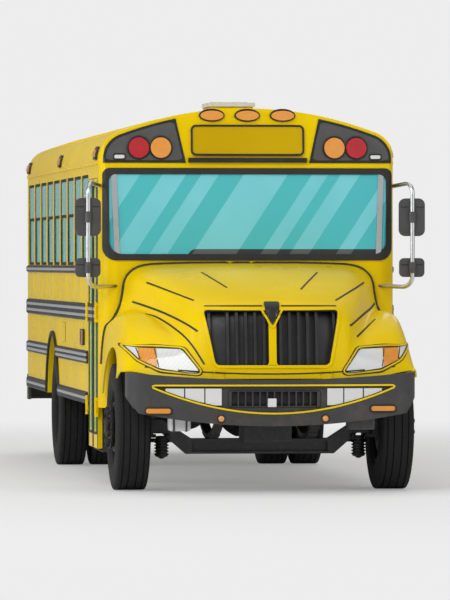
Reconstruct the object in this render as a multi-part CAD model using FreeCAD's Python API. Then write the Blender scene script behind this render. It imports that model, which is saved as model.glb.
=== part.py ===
import FreeCAD, Part
import math
import os

# A conventional school bus with its engine under a tilting hood, ahead of the body.
# X runs to the bus's left side, Y to its rear and Z up. The origin is on the ground,
# under the middle of the bus's length and width. All lengths are in millimetres.

# The bus as a whole
overall_length = 9800
body_width = 2438
crown_z = 3100
wheelbase = 5500
front_overhang = 1040
cowl_setback = 760
overrun = 50
tiny = 0.001
moving_gap = 6

front_y = -overall_length / 2
front_axle_y = front_y + front_overhang
rear_axle_y = front_axle_y + wheelbase
half_width = body_width / 2

# The body shell
wall = 45
skirt_z = 640
floor_z = 1100
floor_thick = 50
roof_rise = 420
windshield_rake = 50
rake_foot_z = 1840
brow_foot_drop = 20
brow_lift = 20
crown_setback = 95
corner_radius = 160
corner_ease = 1
shoulder_radius = 240
brow_radius = 70
cap_length = 230
gutter_drop = 40
rear_bumper_reach = 100

arch_spring_z = crown_z - roof_rise
brow_foot_z = arch_spring_z - brow_foot_drop
gutter_z = arch_spring_z - gutter_drop
cowl_y = front_axle_y + cowl_setback
body_rear_y = overall_length / 2 - rear_bumper_reach
cap_front_y = cowl_y + cap_length
cap_rear_y = body_rear_y - cap_length
floor_low_z = floor_z - floor_thick
inner_half = half_width - wall

# The side windows, one after another behind the entrance
window_count = 9
window_low_z = 1810
window_head = 70
window_post = 62
window_corner = 35
sash = 26
sash_depth = 30
sash_setback = 6
sash_rail_drop = 330
pane_thick = 5
pane_setback = 9

window_high_z = gutter_z - window_head
sash_rail_z = window_high_z - sash_rail_drop

# The entrance and its steps
door_width = 840
door_low_z = 300
door_head = 110
leaf_meeting_gap = 14
leaf_thick = 38
leaf_border = 52
leaf_kick_z = 430
leaf_bar_z = (1345, 1490)
step_low_z = 270
step_count = 3
step_plate = 12
step_inner_x = -540

door_high_z = gutter_z - door_head
door_front_y = cap_front_y
door_rear_y = door_front_y + door_width
door_mid_y = (door_front_y + door_rear_y) / 2
window_pitch = (cap_rear_y - door_rear_y) / window_count

# The windshield
shield_half = 1172
shield_low_z = 1875
shield_head = 58
shield_corner = 60
shield_low_corner = 110
glass_thick = 7
seal_thick = 12
seal_width = 26
pillar_x = 1080
pillar_lean = 26
pillar_width = 22

shield_high_z = gutter_z - shield_head

# The hood
hood_gap = 18
hood_nose_y = front_y + 100
hood_low_z = 760
hood_high_z = 1825
hood_thick = 14
front_arch = 640
tilt_drop = 65

hood_rear_y = cowl_y - hood_gap
hood_length = hood_rear_y - hood_nose_y
hood_rise = hood_high_z - hood_low_z

# Wheels
tyre_radius = 510
tyre_width = 280
rim_radius = 288
rim_lip = 300
rim_thick = 12
front_wheel_x = 1060
kingpin_x = 880
twin_pitch = 300
rear_tyre_width = 262
rear_wheel_x = 920
rear_arch = 660
hub_radius = 82
spindle_radius = 38
running_gap = 0.3
stud_count = 10
stud_circle = 142
stud_radius = 17
stud_reach = 22
hinge_lug_share = 0.2
hinge_standoff = 3
drum_radius = 205
hand_hole_count = 5
hand_hole_radius = 34
hand_hole_circle = 205

# The frame
rail_x = 430
rail_high_z = 950
rail_depth = 240
rail_flange = 80
rail_web = 10
rail_front_y = front_y + 190
rail_rear_y = body_rear_y - wall
sill_width = 50
arch_shell = 12


def vec(x, y, z):
    """A point or direction."""
    return FreeCAD.Vector(x, y, z)


def box(x_span, y_span, z_span):
    """A box between two places on each axis, given in either order."""
    spans = (x_span, y_span, z_span)
    low = [min(span) for span in spans]
    size = [max(span) - min(span) for span in spans]
    return Part.makeBox(*size, vec(*low))


def rod(start, end, radius):
    """A round bar between two points."""
    way = end - start
    return Part.makeCylinder(radius, way.Length, start, way)


def union(pieces):
    """One solid from pieces that meet."""
    pieces = list(pieces)
    whole = pieces[0].multiFuse(pieces[1:]) if len(pieces) > 1 else pieces[0]
    return whole.removeSplitter()


def mirrored(shape):
    """The same shape on the other side of the bus."""
    return shape.mirror(vec(0, 0, 0), vec(1, 0, 0))


def both(shape):
    """A shape and its mirror image."""
    return [shape, mirrored(shape)]


def in_plane(normal, u, v):
    """The point at u, v of a plane across X, Y or Z through the origin."""
    places = {"x": (0, u, v), "y": (u, 0, v), "z": (u, v, 0)}
    return vec(*places[normal])


def outline(normal, points, radii):
    """A closed outline whose corners are rounded to one radius, or to one each."""
    count = len(points)
    if not isinstance(radii, (list, tuple)):
        radii = [radii] * count
    spots = [in_plane(normal, u, v) for u, v in points]
    arrivals = []
    leavings = []
    arcs = []
    for i in range(count):
        corner = spots[i]
        back = (spots[i - 1] - corner).normalize()
        ahead = (spots[(i + 1) % count] - corner).normalize()
        if radii[i] == 0:
            arrivals.append(corner)
            leavings.append(corner)
            arcs.append(None)
            continue
        half_angle = back.getAngle(ahead) / 2
        reach = radii[i] / math.tan(half_angle)
        middle = (back + ahead).normalize()
        depth = radii[i] / math.sin(half_angle) - radii[i]
        first = corner + back * reach
        last = corner + ahead * reach
        arrivals.append(first)
        leavings.append(last)
        arcs.append(Part.Arc(first, corner + middle * depth, last).toShape())
    edges = []
    for i in range(count):
        if arcs[i] is not None:
            edges.append(arcs[i])
        start = leavings[i]
        end = arrivals[(i + 1) % count]
        if (end - start).Length > tiny:
            edges.append(Part.makeLine(start, end))
    return Part.Wire(Part.__sortEdges__(edges))


def prism(normal, points, span, radii=0):
    """An outline across one axis, drawn out between two places along it."""
    axis = {"x": vec(1, 0, 0), "y": vec(0, 1, 0), "z": vec(0, 0, 1)}[normal]
    face = Part.Face(outline(normal, points, radii))
    face.translate(axis * min(span))
    return face.extrude(axis * (max(span) - min(span)))


def row(piece, count, step):
    """Copies of a piece, each one step on from the last."""
    copies = []
    for i in range(count):
        copy = piece.copy()
        copy.translate(step * i)
        copies.append(copy)
    return copies


def revolved(points, centre, axis):
    """A profile of (distance along the axis, radius) turned about the axis."""
    spots = [vec(u, 0, v) for u, v in points]
    face = Part.Face(Part.makePolygon(spots + [spots[0]]))
    solid = face.revolve(vec(0, 0, 0), vec(1, 0, 0), 360)
    turn = FreeCAD.Rotation(vec(1, 0, 0), axis)
    solid.Placement = FreeCAD.Placement(centre, turn)
    return solid


def bent_bar(points, radius):
    """A round bar through some points, with a ball in each bend."""
    pieces = [rod(points[i], points[i + 1], radius) for i in range(len(points) - 1)]
    pieces += [Part.makeSphere(radius, point) for point in points[1:-1]]
    return union(pieces)


def curved_bar(points, radius, bend):
    """A round bar through some points, with an arc of one radius in each bend."""
    edges = []
    start = points[0]
    for i in range(1, len(points) - 1):
        back = (points[i - 1] - points[i]).normalize()
        ahead = (points[i + 1] - points[i]).normalize()
        half = back.getAngle(ahead) / 2
        first = points[i] + back * (bend / math.tan(half))
        last = points[i] + ahead * (bend / math.tan(half))
        middle = points[i] + (back + ahead).normalize() * (bend / math.sin(half) - bend)
        edges.append(Part.makeLine(start, first))
        edges.append(Part.Arc(first, middle, last).toShape())
        start = last
    edges.append(Part.makeLine(start, points[-1]))
    ring = Part.Wire(Part.Circle(points[0], points[1] - points[0], radius).toShape())
    return Part.Wire(edges).makePipeShell([ring], True, False)


def roof_arch(inset):
    """The arch over the body: a wide arc between two tight shoulder arcs, drawn in by an inset."""
    rise = crown_z - arch_spring_z
    gap_x = half_width - shoulder_radius
    wide = (gap_x ** 2 + rise ** 2 - shoulder_radius ** 2) / (2 * (rise - shoulder_radius))
    lean = math.atan2(gap_x, wide - rise)
    tight = shoulder_radius - inset
    edges = []
    joints = []
    for side in (-1, 1):
        centre = vec(side * gap_x, 0, arch_spring_z)
        low = centre + vec(side * tight, 0, 0)
        turn = (math.pi / 2 - lean) / 2
        middle = centre + vec(side * tight * math.cos(turn), 0, tight * math.sin(turn))
        high = centre + vec(side * tight * math.sin(lean), 0, tight * math.cos(lean))
        edges.append(Part.Arc(low, middle, high).toShape())
        joints.append(high)
    edges.append(Part.Arc(joints[0], vec(0, 0, crown_z - inset), joints[1]).toShape())
    return edges


def arch_section(inset, low_z):
    """The body's cross-section, drawn in by an inset and open to a height."""
    half = half_width - inset
    base = Part.makePolygon([vec(-half, 0, arch_spring_z), vec(-half, 0, low_z), vec(half, 0, low_z),
        vec(half, 0, arch_spring_z)])
    return Part.Face(Part.Wire(Part.__sortEdges__(roof_arch(inset) + base.Edges)))


def body_form(inset, low_z=skirt_z):
    """The body's outside form, drawn in by an inset all round and open to a height."""
    half = half_width - inset
    nose_y = cowl_y + inset
    tail_y = body_rear_y - inset
    section = arch_section(inset, low_z)
    section.translate(vec(0, nose_y - overrun, 0))
    along = section.extrude(vec(0, tail_y - nose_y + 2 * overrun, 0))
    z_span = (low_z - overrun, crown_z + overrun)
    high_z = crown_z - inset + brow_lift
    side = [(nose_y, z_span[0]), (nose_y, rake_foot_z), (nose_y + windshield_rake, brow_foot_z)]
    side += [(nose_y + crown_setback, high_z), (tail_y, high_z), (tail_y, z_span[0])]
    radii = [0, 0, 0, brow_radius, brow_radius, 0]
    profile = prism("x", side, (-half_width - overrun, half_width + overrun), radii)
    plan_x = half + corner_ease
    plan_y = (nose_y - corner_ease, tail_y + corner_ease)
    corners = [(-plan_x, plan_y[0]), (plan_x, plan_y[0]), (plan_x, plan_y[1]), (-plan_x, plan_y[1])]
    plan = prism("z", corners, z_span, corner_radius - inset)
    return along.common(profile).common(plan)


def on_body(tool, out, depth):
    """What a tool takes of a skin that lies between two insets of the body's form."""
    return tool.common(body_form(out)).cut(body_form(depth))


def hinge(length, barrel, pin, leaf, flap):
    """A hinge along +Z with its mounting faces towards +X: its fixed and moving halves."""
    lug = length * hinge_lug_share
    face = barrel + hinge_standoff
    pivot = Part.makeCylinder(pin, length)
    ends = [Part.makeCylinder(barrel, lug), Part.makeCylinder(barrel, lug, vec(0, 0, length - lug))]
    plate = box((face - leaf, face), (-flap, -barrel - hinge_standoff), (0, length))
    arms = [box((0, face), (-barrel - hinge_standoff, 0), (0, lug))]
    arms.append(box((0, face), (-barrel - hinge_standoff, 0), (length - lug, length)))
    slack = lug + hinge_standoff
    knuckle = Part.makeCylinder(barrel, length - 2 * slack, vec(0, 0, slack))
    strap = box((0, face), (0, flap), (slack, length - slack))
    strap = strap.cut(box((0, face - leaf), (barrel, flap), (0, length)))
    moving = union([knuckle, strap]).cut(Part.makeCylinder(pin + running_gap, length))
    return union([pivot, plate] + ends + arms), moving


def placed(shape, origin, x_way, z_way):
    """A copy whose own origin, X and Z axes go to a place and two ways."""
    copy = shape.copy()
    turn = FreeCAD.Rotation(x_way, z_way.cross(x_way), z_way, "ZXY")
    copy.Placement = FreeCAD.Placement(origin, turn).multiply(copy.Placement)
    return copy


# The chassis

cross_count = 7
cross_start = 650
cross_height = 140
cross_length = 70
cross_plate = 10


def frame_rails():
    """Two channel rails and the channels across between them."""
    low_z = rail_high_z - rail_depth
    inner_x = rail_x - rail_flange
    web_x = rail_x - rail_web
    channel = [(inner_x, rail_high_z), (rail_x, rail_high_z), (rail_x, low_z), (inner_x, low_z)]
    channel += [(inner_x, low_z + rail_web), (web_x, low_z + rail_web)]
    channel += [(web_x, rail_high_z - rail_web), (inner_x, rail_high_z - rail_web)]
    rail = prism("y", channel, (rail_front_y, rail_rear_y))
    middle_z = rail_high_z - rail_depth / 2
    high_z = middle_z + cross_height / 2
    foot_z = middle_z - cross_height / 2
    across = [(0, foot_z), (0, high_z), (cross_length, high_z), (cross_length, high_z - cross_plate)]
    across += [(cross_plate, high_z - cross_plate), (cross_plate, foot_z + cross_plate)]
    across += [(cross_length, foot_z + cross_plate), (cross_length, foot_z)]
    member = prism("x", across, (-web_x, web_x))
    start_y = cowl_y + cross_start
    member.translate(vec(0, start_y, 0))
    step = (rail_rear_y - cross_length - start_y) / (cross_count - 1)
    members = row(member, cross_count, vec(0, step, 0))
    front_member = member.copy()
    front_member.translate(vec(0, rail_front_y - start_y, 0))
    return union(both(rail) + members + [front_member])


beam_depth = 100
beam_low_z = 290
beam_high_z = 410
beam_web = 28
beam_flange = 18
beam_drop_x = 600
boss_radius = 45
boss_height = 110
kingpin_radius = 20
axle_tube = 65
differential_radius = 195
differential_half = 150
axle_end_x = 1010
axle_end_radius = 48
spring_seat = 120


def axles():
    """The dropped front beam and the rear axle's housing."""
    boss_low_z = tyre_radius - boss_height / 2
    boss_high_z = tyre_radius + boss_height / 2
    arm_x = kingpin_x - 2 * boss_radius
    points = [(beam_drop_x - beam_depth / 2, beam_high_z), (arm_x, boss_high_z), (kingpin_x, boss_high_z)]
    points += [(kingpin_x, boss_low_z), (arm_x, boss_low_z), (beam_drop_x, beam_low_z)]
    points += [(-x, z) for x, z in reversed(points)]
    span = (front_axle_y - beam_depth / 2, front_axle_y + beam_depth / 2)
    beam = prism("y", points, span)
    pocket_z = (beam_low_z + beam_flange, beam_high_z - beam_flange)
    pocket_x = beam_drop_x - beam_depth / 2
    for side in (-1, 1):
        web_y = front_axle_y + side * beam_web / 2
        far_y = front_axle_y + side * beam_depth
        beam = beam.cut(box((-pocket_x, pocket_x), (web_y, far_y), pocket_z))
    for side in (-1, 1):
        foot = vec(side * kingpin_x, front_axle_y, boss_low_z)
        boss = Part.makeCylinder(boss_radius, boss_height, foot)
        beam = beam.fuse(boss)
        beam = beam.cut(Part.makeCylinder(kingpin_radius + running_gap, boss_height, foot))
    centre = vec(0, rear_axle_y, tyre_radius)
    housing = Part.makeSphere(differential_radius, centre)
    keep_y = (rear_axle_y - differential_radius, rear_axle_y + differential_radius)
    keep_z = (tyre_radius - differential_radius, tyre_radius + differential_radius)
    housing = housing.common(box((-differential_half, differential_half), keep_y, keep_z))
    tube_x = rear_wheel_x - twin_pitch / 2 - rear_tyre_width / 2
    tube = rod(vec(-tube_x, rear_axle_y, tyre_radius), vec(tube_x, rear_axle_y, tyre_radius), axle_tube)
    ends = rod(vec(-axle_end_x, rear_axle_y, tyre_radius), vec(axle_end_x, rear_axle_y, tyre_radius),
        axle_end_radius)
    seats = []
    for side in (-1, 1):
        x_span = (side * (rail_x - spring_width), side * rail_x)
        y_span = (rear_axle_y - spring_seat / 2, rear_axle_y + spring_seat / 2)
        seats.append(box(x_span, y_span, (tyre_radius, tyre_radius + axle_tube + spring_pad)))
    return Part.makeCompound([beam.removeSplitter(), union([housing, tube, ends] + seats)])


spring_width = 76
spring_pad = 12
spring_half = 640
spring_leaf = 14
leaf_count = 3
spring_rise = 150
shackle = 60


def leaf_springs():
    """Four arched packs of leaves, each hung from the rails at its two ends."""
    springs = []
    front_seat_z = beam_high_z
    rear_seat_z = tyre_radius + axle_tube + spring_pad
    rail_low_z = rail_high_z - rail_depth
    x_span = (rail_x - spring_width, rail_x)
    for axle_y, foot_z in ((front_axle_y, front_seat_z), (rear_axle_y, rear_seat_z)):
        rise = min(spring_rise, rail_low_z - foot_z - shackle)
        leaves = []
        for i in range(leaf_count):
            share = 1 - i / (leaf_count + 1)
            half = spring_half * share
            lift = rise * share * share
            low_z = foot_z + (leaf_count - 1 - i) * spring_leaf
            leaves.append(arched_leaf(axle_y, half, low_z, lift, x_span))
        pack = union(leaves)
        hangers = []
        for side in (-1, 1):
            end_y = axle_y + side * spring_half
            y_span = (end_y - shackle / 2, end_y + shackle / 2)
            foot = foot_z + rise
            hangers.append(box(x_span, y_span, (foot, rail_low_z)))
        springs += both(union([pack] + hangers))
    return Part.makeCompound(springs)


def arched_leaf(axle_y, half, low_z, lift, x_span):
    """One leaf: a strip bent to an arc with its ends lifted."""
    edges = []
    for extra in (0, spring_leaf):
        left = vec(0, axle_y - half, low_z + lift + extra)
        middle = vec(0, axle_y, low_z + extra)
        right = vec(0, axle_y + half, low_z + lift + extra)
        edges.append(Part.Arc(left, middle, right).toShape())
    ends = []
    for side in (-1, 1):
        foot = vec(0, axle_y + side * half, low_z + lift)
        ends.append(Part.makeLine(foot, foot + vec(0, 0, spring_leaf)))
    face = Part.Face(Part.Wire(Part.__sortEdges__(edges + ends)))
    face.translate(vec(min(x_span), 0, 0))
    return face.extrude(vec(max(x_span) - min(x_span), 0, 0))


engine_half = 340
along_share = 0.9
engine_length = 1150
engine_high_z = 1380
engine_gap_y = 150
sump_half = 190
sump_length = 380
sump_low_z = 395
sump_lead = 330
gearbox_radius = 190
gearbox_length = 700
gearbox_z = 700
shaft_radius = 50
mount_length = 120
radiator_half = 450
radiator_lead = 110
radiator_low_z = 955
radiator_high_z = 1400


def driveline():
    """The engine as a plain block, its sump and gearbox, and the shaft to the rear axle."""
    rear_y = cowl_y - engine_gap_y
    front = rear_y - engine_length
    block = box((-engine_half, engine_half), (front, rear_y), (rail_high_z - rail_depth, engine_high_z))
    lengthwise = [edge for edge in block.Edges if abs(edge.tangentAt(edge.FirstParameter).y) > along_share]
    block = block.makeFillet(overrun, lengthwise)
    sump_y = front + sump_lead
    pan = box((-sump_half, sump_half), (sump_y - sump_length, sump_y), (sump_low_z, rail_high_z - rail_depth))
    pan = pan.makeFillet(overrun / 2, [e for e in pan.Edges if e.BoundBox.ZMax < sump_low_z + tiny])
    radiator_y = front - radiator_lead
    radiator = box((-radiator_half, radiator_half), (radiator_y, front + overrun),
        (radiator_low_z, radiator_high_z))
    box_end_y = rear_y + gearbox_length
    gearbox = Part.makeCone(engine_half - overrun / 2, gearbox_radius, gearbox_length / 3,
        vec(0, rear_y, gearbox_z), vec(0, 1, 0))
    gearbox = gearbox.common(box((-engine_half, engine_half), (rear_y, box_end_y),
        (gearbox_z - engine_half + overrun, engine_high_z)))
    case = rod(vec(0, rear_y + gearbox_length / 3, gearbox_z), vec(0, box_end_y, gearbox_z), gearbox_radius)
    nose_y = rear_axle_y - differential_radius
    shaft = rod(vec(0, box_end_y, gearbox_z), vec(0, nose_y + overrun / 2, tyre_radius), shaft_radius)
    shaft = shaft.cut(Part.makeSphere(differential_radius, vec(0, rear_axle_y, tyre_radius)))
    feet = []
    web_x = rail_x - rail_web
    for y in (front + mount_length, rear_y - 2 * mount_length):
        y_span = (y, y + mount_length)
        z_span = (rail_high_z - rail_depth + 2 * rail_web, rail_high_z - 2 * rail_web)
        feet.append(box((-web_x, web_x), y_span, z_span))
    return union([block, pan, radiator, gearbox, case, shaft] + feet)


tank_length = 1250
tank_height = 480
tank_depth = 470
tank_start_y = 260
tank_round = 70
tank_drop = 20
strap_width = 50
strap_thick = 6
strap_shares = (0.2, 0.8)


def fuel_tank():
    """The fuel tank beside the right rail, with its two straps."""
    low_y = door_rear_y + tank_start_y
    high_z = rail_high_z - tank_drop
    x_span = (-rail_x, -rail_x - tank_depth)
    corners = [(x_span[0], high_z - tank_height), (x_span[0], high_z), (x_span[1], high_z),
        (x_span[1], high_z - tank_height)]
    tank = prism("y", corners, (low_y, low_y + tank_length), [0, 0, tank_round, tank_round])
    grown = [(x_span[0], high_z - tank_height - strap_thick), (x_span[0], high_z + strap_thick)]
    grown += [(x_span[1] - strap_thick, high_z + strap_thick),
        (x_span[1] - strap_thick, high_z - tank_height - strap_thick)]
    straps = []
    for share in strap_shares:
        y = low_y + tank_length * share
        span = (y - strap_width / 2, y + strap_width / 2)
        straps.append(prism("y", grown, span, [0, 0, tank_round, tank_round]))
    return union([tank] + straps)


pipe_radius = 46
muffler_radius = 105
muffler_length = 900
muffler_lead = 1900
muffler_x = 560
pipe_x = 495
pipe_z = 790
pipe_rise = 130
pipe_start = 300
pipe_hook = 40
pipe_tail_z = 455
pipe_tail_reach = 30


def exhaust():
    """The silencer and pipe along the left rail, over the rear axle and out at the back."""
    start = vec(muffler_x, cowl_y + pipe_start, pipe_z)
    join = vec(muffler_x, cowl_y + muffler_lead, pipe_z)
    leave = vec(muffler_x, join.y + muffler_length, pipe_z)
    neck = vec(muffler_x, leave.y + pipe_start, pipe_z)
    bend = vec(pipe_x, rear_axle_y - rear_arch - pipe_start, pipe_z)
    over = vec(pipe_x, rear_axle_y, pipe_z + pipe_rise)
    beyond = vec(pipe_x, rear_axle_y + rear_arch, pipe_z)
    down = vec(pipe_x, rear_axle_y + 2 * rear_arch, pipe_tail_z)
    end = vec(pipe_x, body_rear_y + pipe_tail_reach, pipe_tail_z)
    pipe = bent_bar([start, join, leave, neck, bend, over, beyond, down, end], pipe_radius)
    pieces = [pipe, rod(join, leave, muffler_radius)]
    for y in (start.y + pipe_start, neck.y - pipe_start / 2, bend.y):
        y_span = (y, y + pipe_hook)
        pieces.append(box((rail_x, muffler_x - pipe_radius / 2), y_span, (pipe_z, pipe_z + pipe_radius / 2)))
    return union(pieces)


sill_count = 7
rear_sill_count = 3
sill_gap = 60


def wheelhouse(side):
    """The round block that a rear wheelhouse takes out of the floor."""
    start = vec(side * (rail_x + spring_width + overrun), rear_axle_y, tyre_radius)
    end = vec(side * inner_half, rear_axle_y, tyre_radius)
    return start, end, rod(start, end, rear_arch)


def floor():
    """The floor plate on its sills, with the rear wheelhouses and the step well left out."""
    front = cowl_y + wall
    rear = body_rear_y - wall
    plate = box((-inner_half, inner_half), (front, rear), (floor_low_z, floor_z)).common(body_form(wall))
    sill = box((-inner_half, inner_half), (0, sill_width), (rail_high_z, floor_low_z))
    sill.translate(vec(0, cap_front_y, 0))
    arch_reach = rear_arch + arch_shell + sill_gap
    step = (rear_axle_y - arch_reach - sill_width - cap_front_y) / (sill_count - 1)
    sills = row(sill, sill_count, vec(0, step, 0))
    sill.translate(vec(0, rear_axle_y + arch_reach - cap_front_y, 0))
    step = (cap_rear_y - sill_width - rear_axle_y - arch_reach) / (rear_sill_count - 1)
    sills += row(sill, rear_sill_count, vec(0, step, 0))
    deck = union([plate] + sills)
    for side in (-1, 1):
        deck = deck.cut(wheelhouse(side)[2])
    well = box((-half_width, step_inner_x), (door_front_y, door_rear_y), (skirt_z, floor_z + overrun))
    return deck.cut(well)


def wheelhouses():
    """The two arched covers over the rear wheels, let into the floor."""
    y_span = (rear_axle_y - rear_arch - arch_shell, rear_axle_y + rear_arch + arch_shell)
    shells = []
    for side in (-1, 1):
        start, end, outer = wheelhouse(side)
        hollow = rod(start + vec(side * arch_shell, 0, 0), end, rear_arch - arch_shell)
        keep = box((0, side * half_width), y_span, (skirt_z, crown_z))
        shells.append(outer.cut(hollow).common(keep))
    return Part.makeCompound(shells)


def entry_steps():
    """The step well inside the entrance: treads, risers and two end plates."""
    rise = (floor_z - step_low_z - step_plate) / step_count
    run = (step_inner_x + inner_half) / step_count
    pieces = []
    outer_x = -inner_half
    z = step_low_z
    x = outer_x
    for i in range(step_count):
        back_x = -inner_half + run * (i + 1)
        pieces.append(box((x, back_x), (door_front_y, door_rear_y), (z, z + step_plate)))
        pieces.append(box((back_x - step_plate, back_x), (door_front_y, door_rear_y),
            (z, z + rise + step_plate)))
        x = back_x - step_plate
        z = z + rise
    stair = [(outer_x, step_low_z), (outer_x, floor_low_z), (step_inner_x, floor_low_z)]
    stair += [(step_inner_x, floor_low_z - rise), (-inner_half + run, step_low_z)]
    ends = []
    for y in (door_front_y, door_rear_y - step_plate):
        ends.append(prism("y", stair, (y, y + step_plate)))
    return union(pieces + ends)


# The body shell

rear_door_half = 450
rear_door_head = 160
rear_pane_low_z = 1810
rear_pane_head = 220
rear_pane_inner_x = 545
rear_pane_outer_x = 1010
drip_reach = 16
drip_height = 22
hatch_setback = 130
hatch_half = 185
hatch_length = 470
hatch_curb = 22
hatch_curb_rise = 40
hatch_lid_thick = 34
hatch_lid_reach = 14

rear_door_high_z = gutter_z - rear_door_head
rear_pane_high_z = gutter_z - rear_pane_head
hatch_y = door_rear_y + hatch_setback
hatch_curb_high_z = crown_z + hatch_curb_rise


def wall_shell():
    """The whole hollow body before its panels are parted."""
    return body_form(0).cut(body_form(wall, skirt_z - overrun))


def side_openings(side):
    """The window openings of one side, run right through its wall."""
    x_span = (side * (inner_half - overrun), side * (half_width + overrun))
    pieces = []
    first = 0 if side < 0 else -1
    for i in range(first, window_count):
        low_y = door_rear_y + window_pitch * i + window_post / 2
        high_y = low_y + window_pitch - window_post
        corners = [(low_y, window_low_z), (high_y, window_low_z), (high_y, window_high_z),
            (low_y, window_high_z)]
        pieces.append(prism("x", corners, x_span, window_corner))
    return pieces


def rear_wheel_opening(radius):
    """A long cylinder across the bus at the rear axle."""
    start = vec(-half_width - overrun, rear_axle_y, tyre_radius)
    end = vec(half_width + overrun, rear_axle_y, tyre_radius)
    return rod(start, end, radius)


def side_wall(shell, side):
    """One side wall with its windows and wheel arch cut."""
    x_span = (0, side * (half_width + overrun))
    panel = shell.common(box(x_span, (cap_front_y, cap_rear_y), (skirt_z, gutter_z)))
    return panel.cut(Part.makeCompound(side_openings(side))).cut(rear_wheel_opening(rear_arch))


def left_wall(shell):
    """The left wall, with the driver's window first."""
    wall_panel = side_wall(shell, 1)
    return union([wall_panel] + stop_arm_fixings())


def right_wall(shell):
    """The right wall, with the entrance at its front end."""
    doorway = box((0, -half_width - overrun), (cap_front_y - overrun, door_rear_y), (0, door_high_z))
    panel = side_wall(shell, -1).cut(doorway)
    return union([panel] + door_fixings()[1])


def roof(shell):
    """The arched roof between the end caps, with its drip rails and hatch curb."""
    y_span = (cap_front_y, cap_rear_y)
    skin = shell.common(box((-half_width, half_width), y_span, (gutter_z, crown_z)))
    rail = box((half_width, half_width + drip_reach), y_span, (gutter_z, gutter_z + drip_height))
    hatch_span = (hatch_y, hatch_y + hatch_length)
    curb_x = (-hatch_half, hatch_half)
    curb = box(curb_x, hatch_span, (arch_spring_z, hatch_curb_high_z)).cut(body_form(0))
    inner_x = (-hatch_half + hatch_curb, hatch_half - hatch_curb)
    inner_y = (hatch_y + hatch_curb, hatch_y + hatch_length - hatch_curb)
    hole = box(inner_x, inner_y, (arch_spring_z, hatch_curb_high_z + overrun))
    return union([skin, curb] + both(rail)).cut(hole).fuse(hatch_fixings()[0])


def shield_tool(grow, y_reach):
    """The windshield's outline, grown all round and run back through the front cap."""
    half = shield_half + grow
    low_z = shield_low_z - grow
    high_z = shield_high_z + grow
    corners = [(-half, low_z), (half, low_z), (half, high_z), (-half, high_z)]
    radii = [shield_low_corner, shield_low_corner, shield_corner, shield_corner]
    return prism("y", corners, (cowl_y - overrun, cowl_y + y_reach), radii)


def front_wall(shell):
    """The front cap: the cowl below, the windshield's opening and the brow above."""
    y_span = (cowl_y, cap_front_y)
    panel = shell.common(box((-half_width, half_width), y_span, (skirt_z, crown_z)))
    panel = panel.cut(shield_tool(0, corner_radius))
    notch = box((-inner_half + corner_radius, inner_half - corner_radius),
        (cowl_y - overrun, cap_front_y + overrun), (skirt_z, floor_low_z))
    panel = panel.cut(notch)
    return union([panel] + door_fixings()[0])


def rear_wall(shell):
    """The rear cap with the emergency doorway between two fixed windows."""
    y_span = (cap_rear_y, body_rear_y)
    panel = shell.common(box((-half_width, half_width), y_span, (skirt_z, crown_z)))
    doorway = box((-rear_door_half, rear_door_half), (cap_rear_y, body_rear_y + overrun),
        (floor_z, rear_door_high_z))
    apron = box((-half_width, half_width), y_span, (skirt_z, rear_bumper_high_z + moving_gap))
    panel = panel.cut(doorway).cut(apron)
    for opening in both(rear_pane_tool(0)):
        panel = panel.cut(opening)
    return union([panel] + rear_door_fixings()[0])


def rear_pane_tool(grow):
    """The outline of a rear side window, run through the rear cap."""
    low_x = rear_pane_inner_x - grow
    high_x = rear_pane_outer_x + grow
    low_z = rear_pane_low_z - grow
    high_z = rear_pane_high_z + grow
    corners = [(low_x, low_z), (high_x, low_z), (high_x, high_z), (low_x, high_z)]
    return prism("y", corners, (cap_rear_y, body_rear_y + overrun), window_corner + grow)


rub_rails_z = [(1740, 1808), (1345, 1490), (980, 1090), (640, 745)]
rub_reach = 20
rub_slope = 12
rub_arch_gap = 26


def rub_rails():
    """Four raised rails along each side, broken at the wheel arches and the entrance."""
    pieces = []
    for side, start_y in ((1, cap_front_y), (-1, door_rear_y + rub_arch_gap + window_post)):
        for low_z, high_z in rub_rails_z:
            points = [(side * half_width, low_z), (side * (half_width + rub_reach), low_z + rub_slope)]
            points += [(side * (half_width + rub_reach), high_z - rub_slope), (side * half_width, high_z)]
            pieces.append(prism("y", points, (start_y, cap_rear_y)))
    whole = Part.makeCompound(pieces)
    return whole.cut(rear_wheel_opening(rear_arch + rub_arch_gap))


# Glass

def windshield():
    """The curved pane set in the front cap."""
    return on_body(shield_tool(-running_gap, corner_radius), 0, glass_thick)


def shield_ring():
    """A ring run back along the windshield's edge."""
    return shield_tool(seal_width, cap_length).cut(shield_tool(-seal_width, cap_length))


def windshield_seal():
    """The rubber round the windshield, over the pane's edge and the cap's."""
    ring = shield_ring()
    front = box((-half_width - overrun, half_width + overrun),
        (cowl_y - overrun, cowl_y + corner_radius / 2), (skirt_z, crown_z))
    return on_body(ring.common(front), -seal_thick, 0)


def windshield_pillars():
    """The two leaning strips that part the pane's wrapped ends."""
    low = pillar_x
    high = pillar_x + pillar_lean
    points = [(low - pillar_width, shield_low_z + seal_width),
        (low + pillar_width, shield_low_z + seal_width)]
    points += [(high + pillar_width, shield_high_z - seal_width),
        (high - pillar_width, shield_high_z - seal_width)]
    strip = prism("y", points, (cowl_y - overrun, cowl_y + corner_radius))
    strip = strip.cut(shield_ring())
    return Part.makeCompound([on_body(piece, -seal_thick, 0) for piece in both(strip)])


def window_places():
    """The side, front and rear end of each side window's opening."""
    places = []
    for side in (-1, 1):
        first = 0 if side < 0 else -1
        for i in range(first, window_count):
            low_y = door_rear_y + window_pitch * i + window_post / 2
            places.append((side, low_y, low_y + window_pitch - window_post))
    return places


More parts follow.
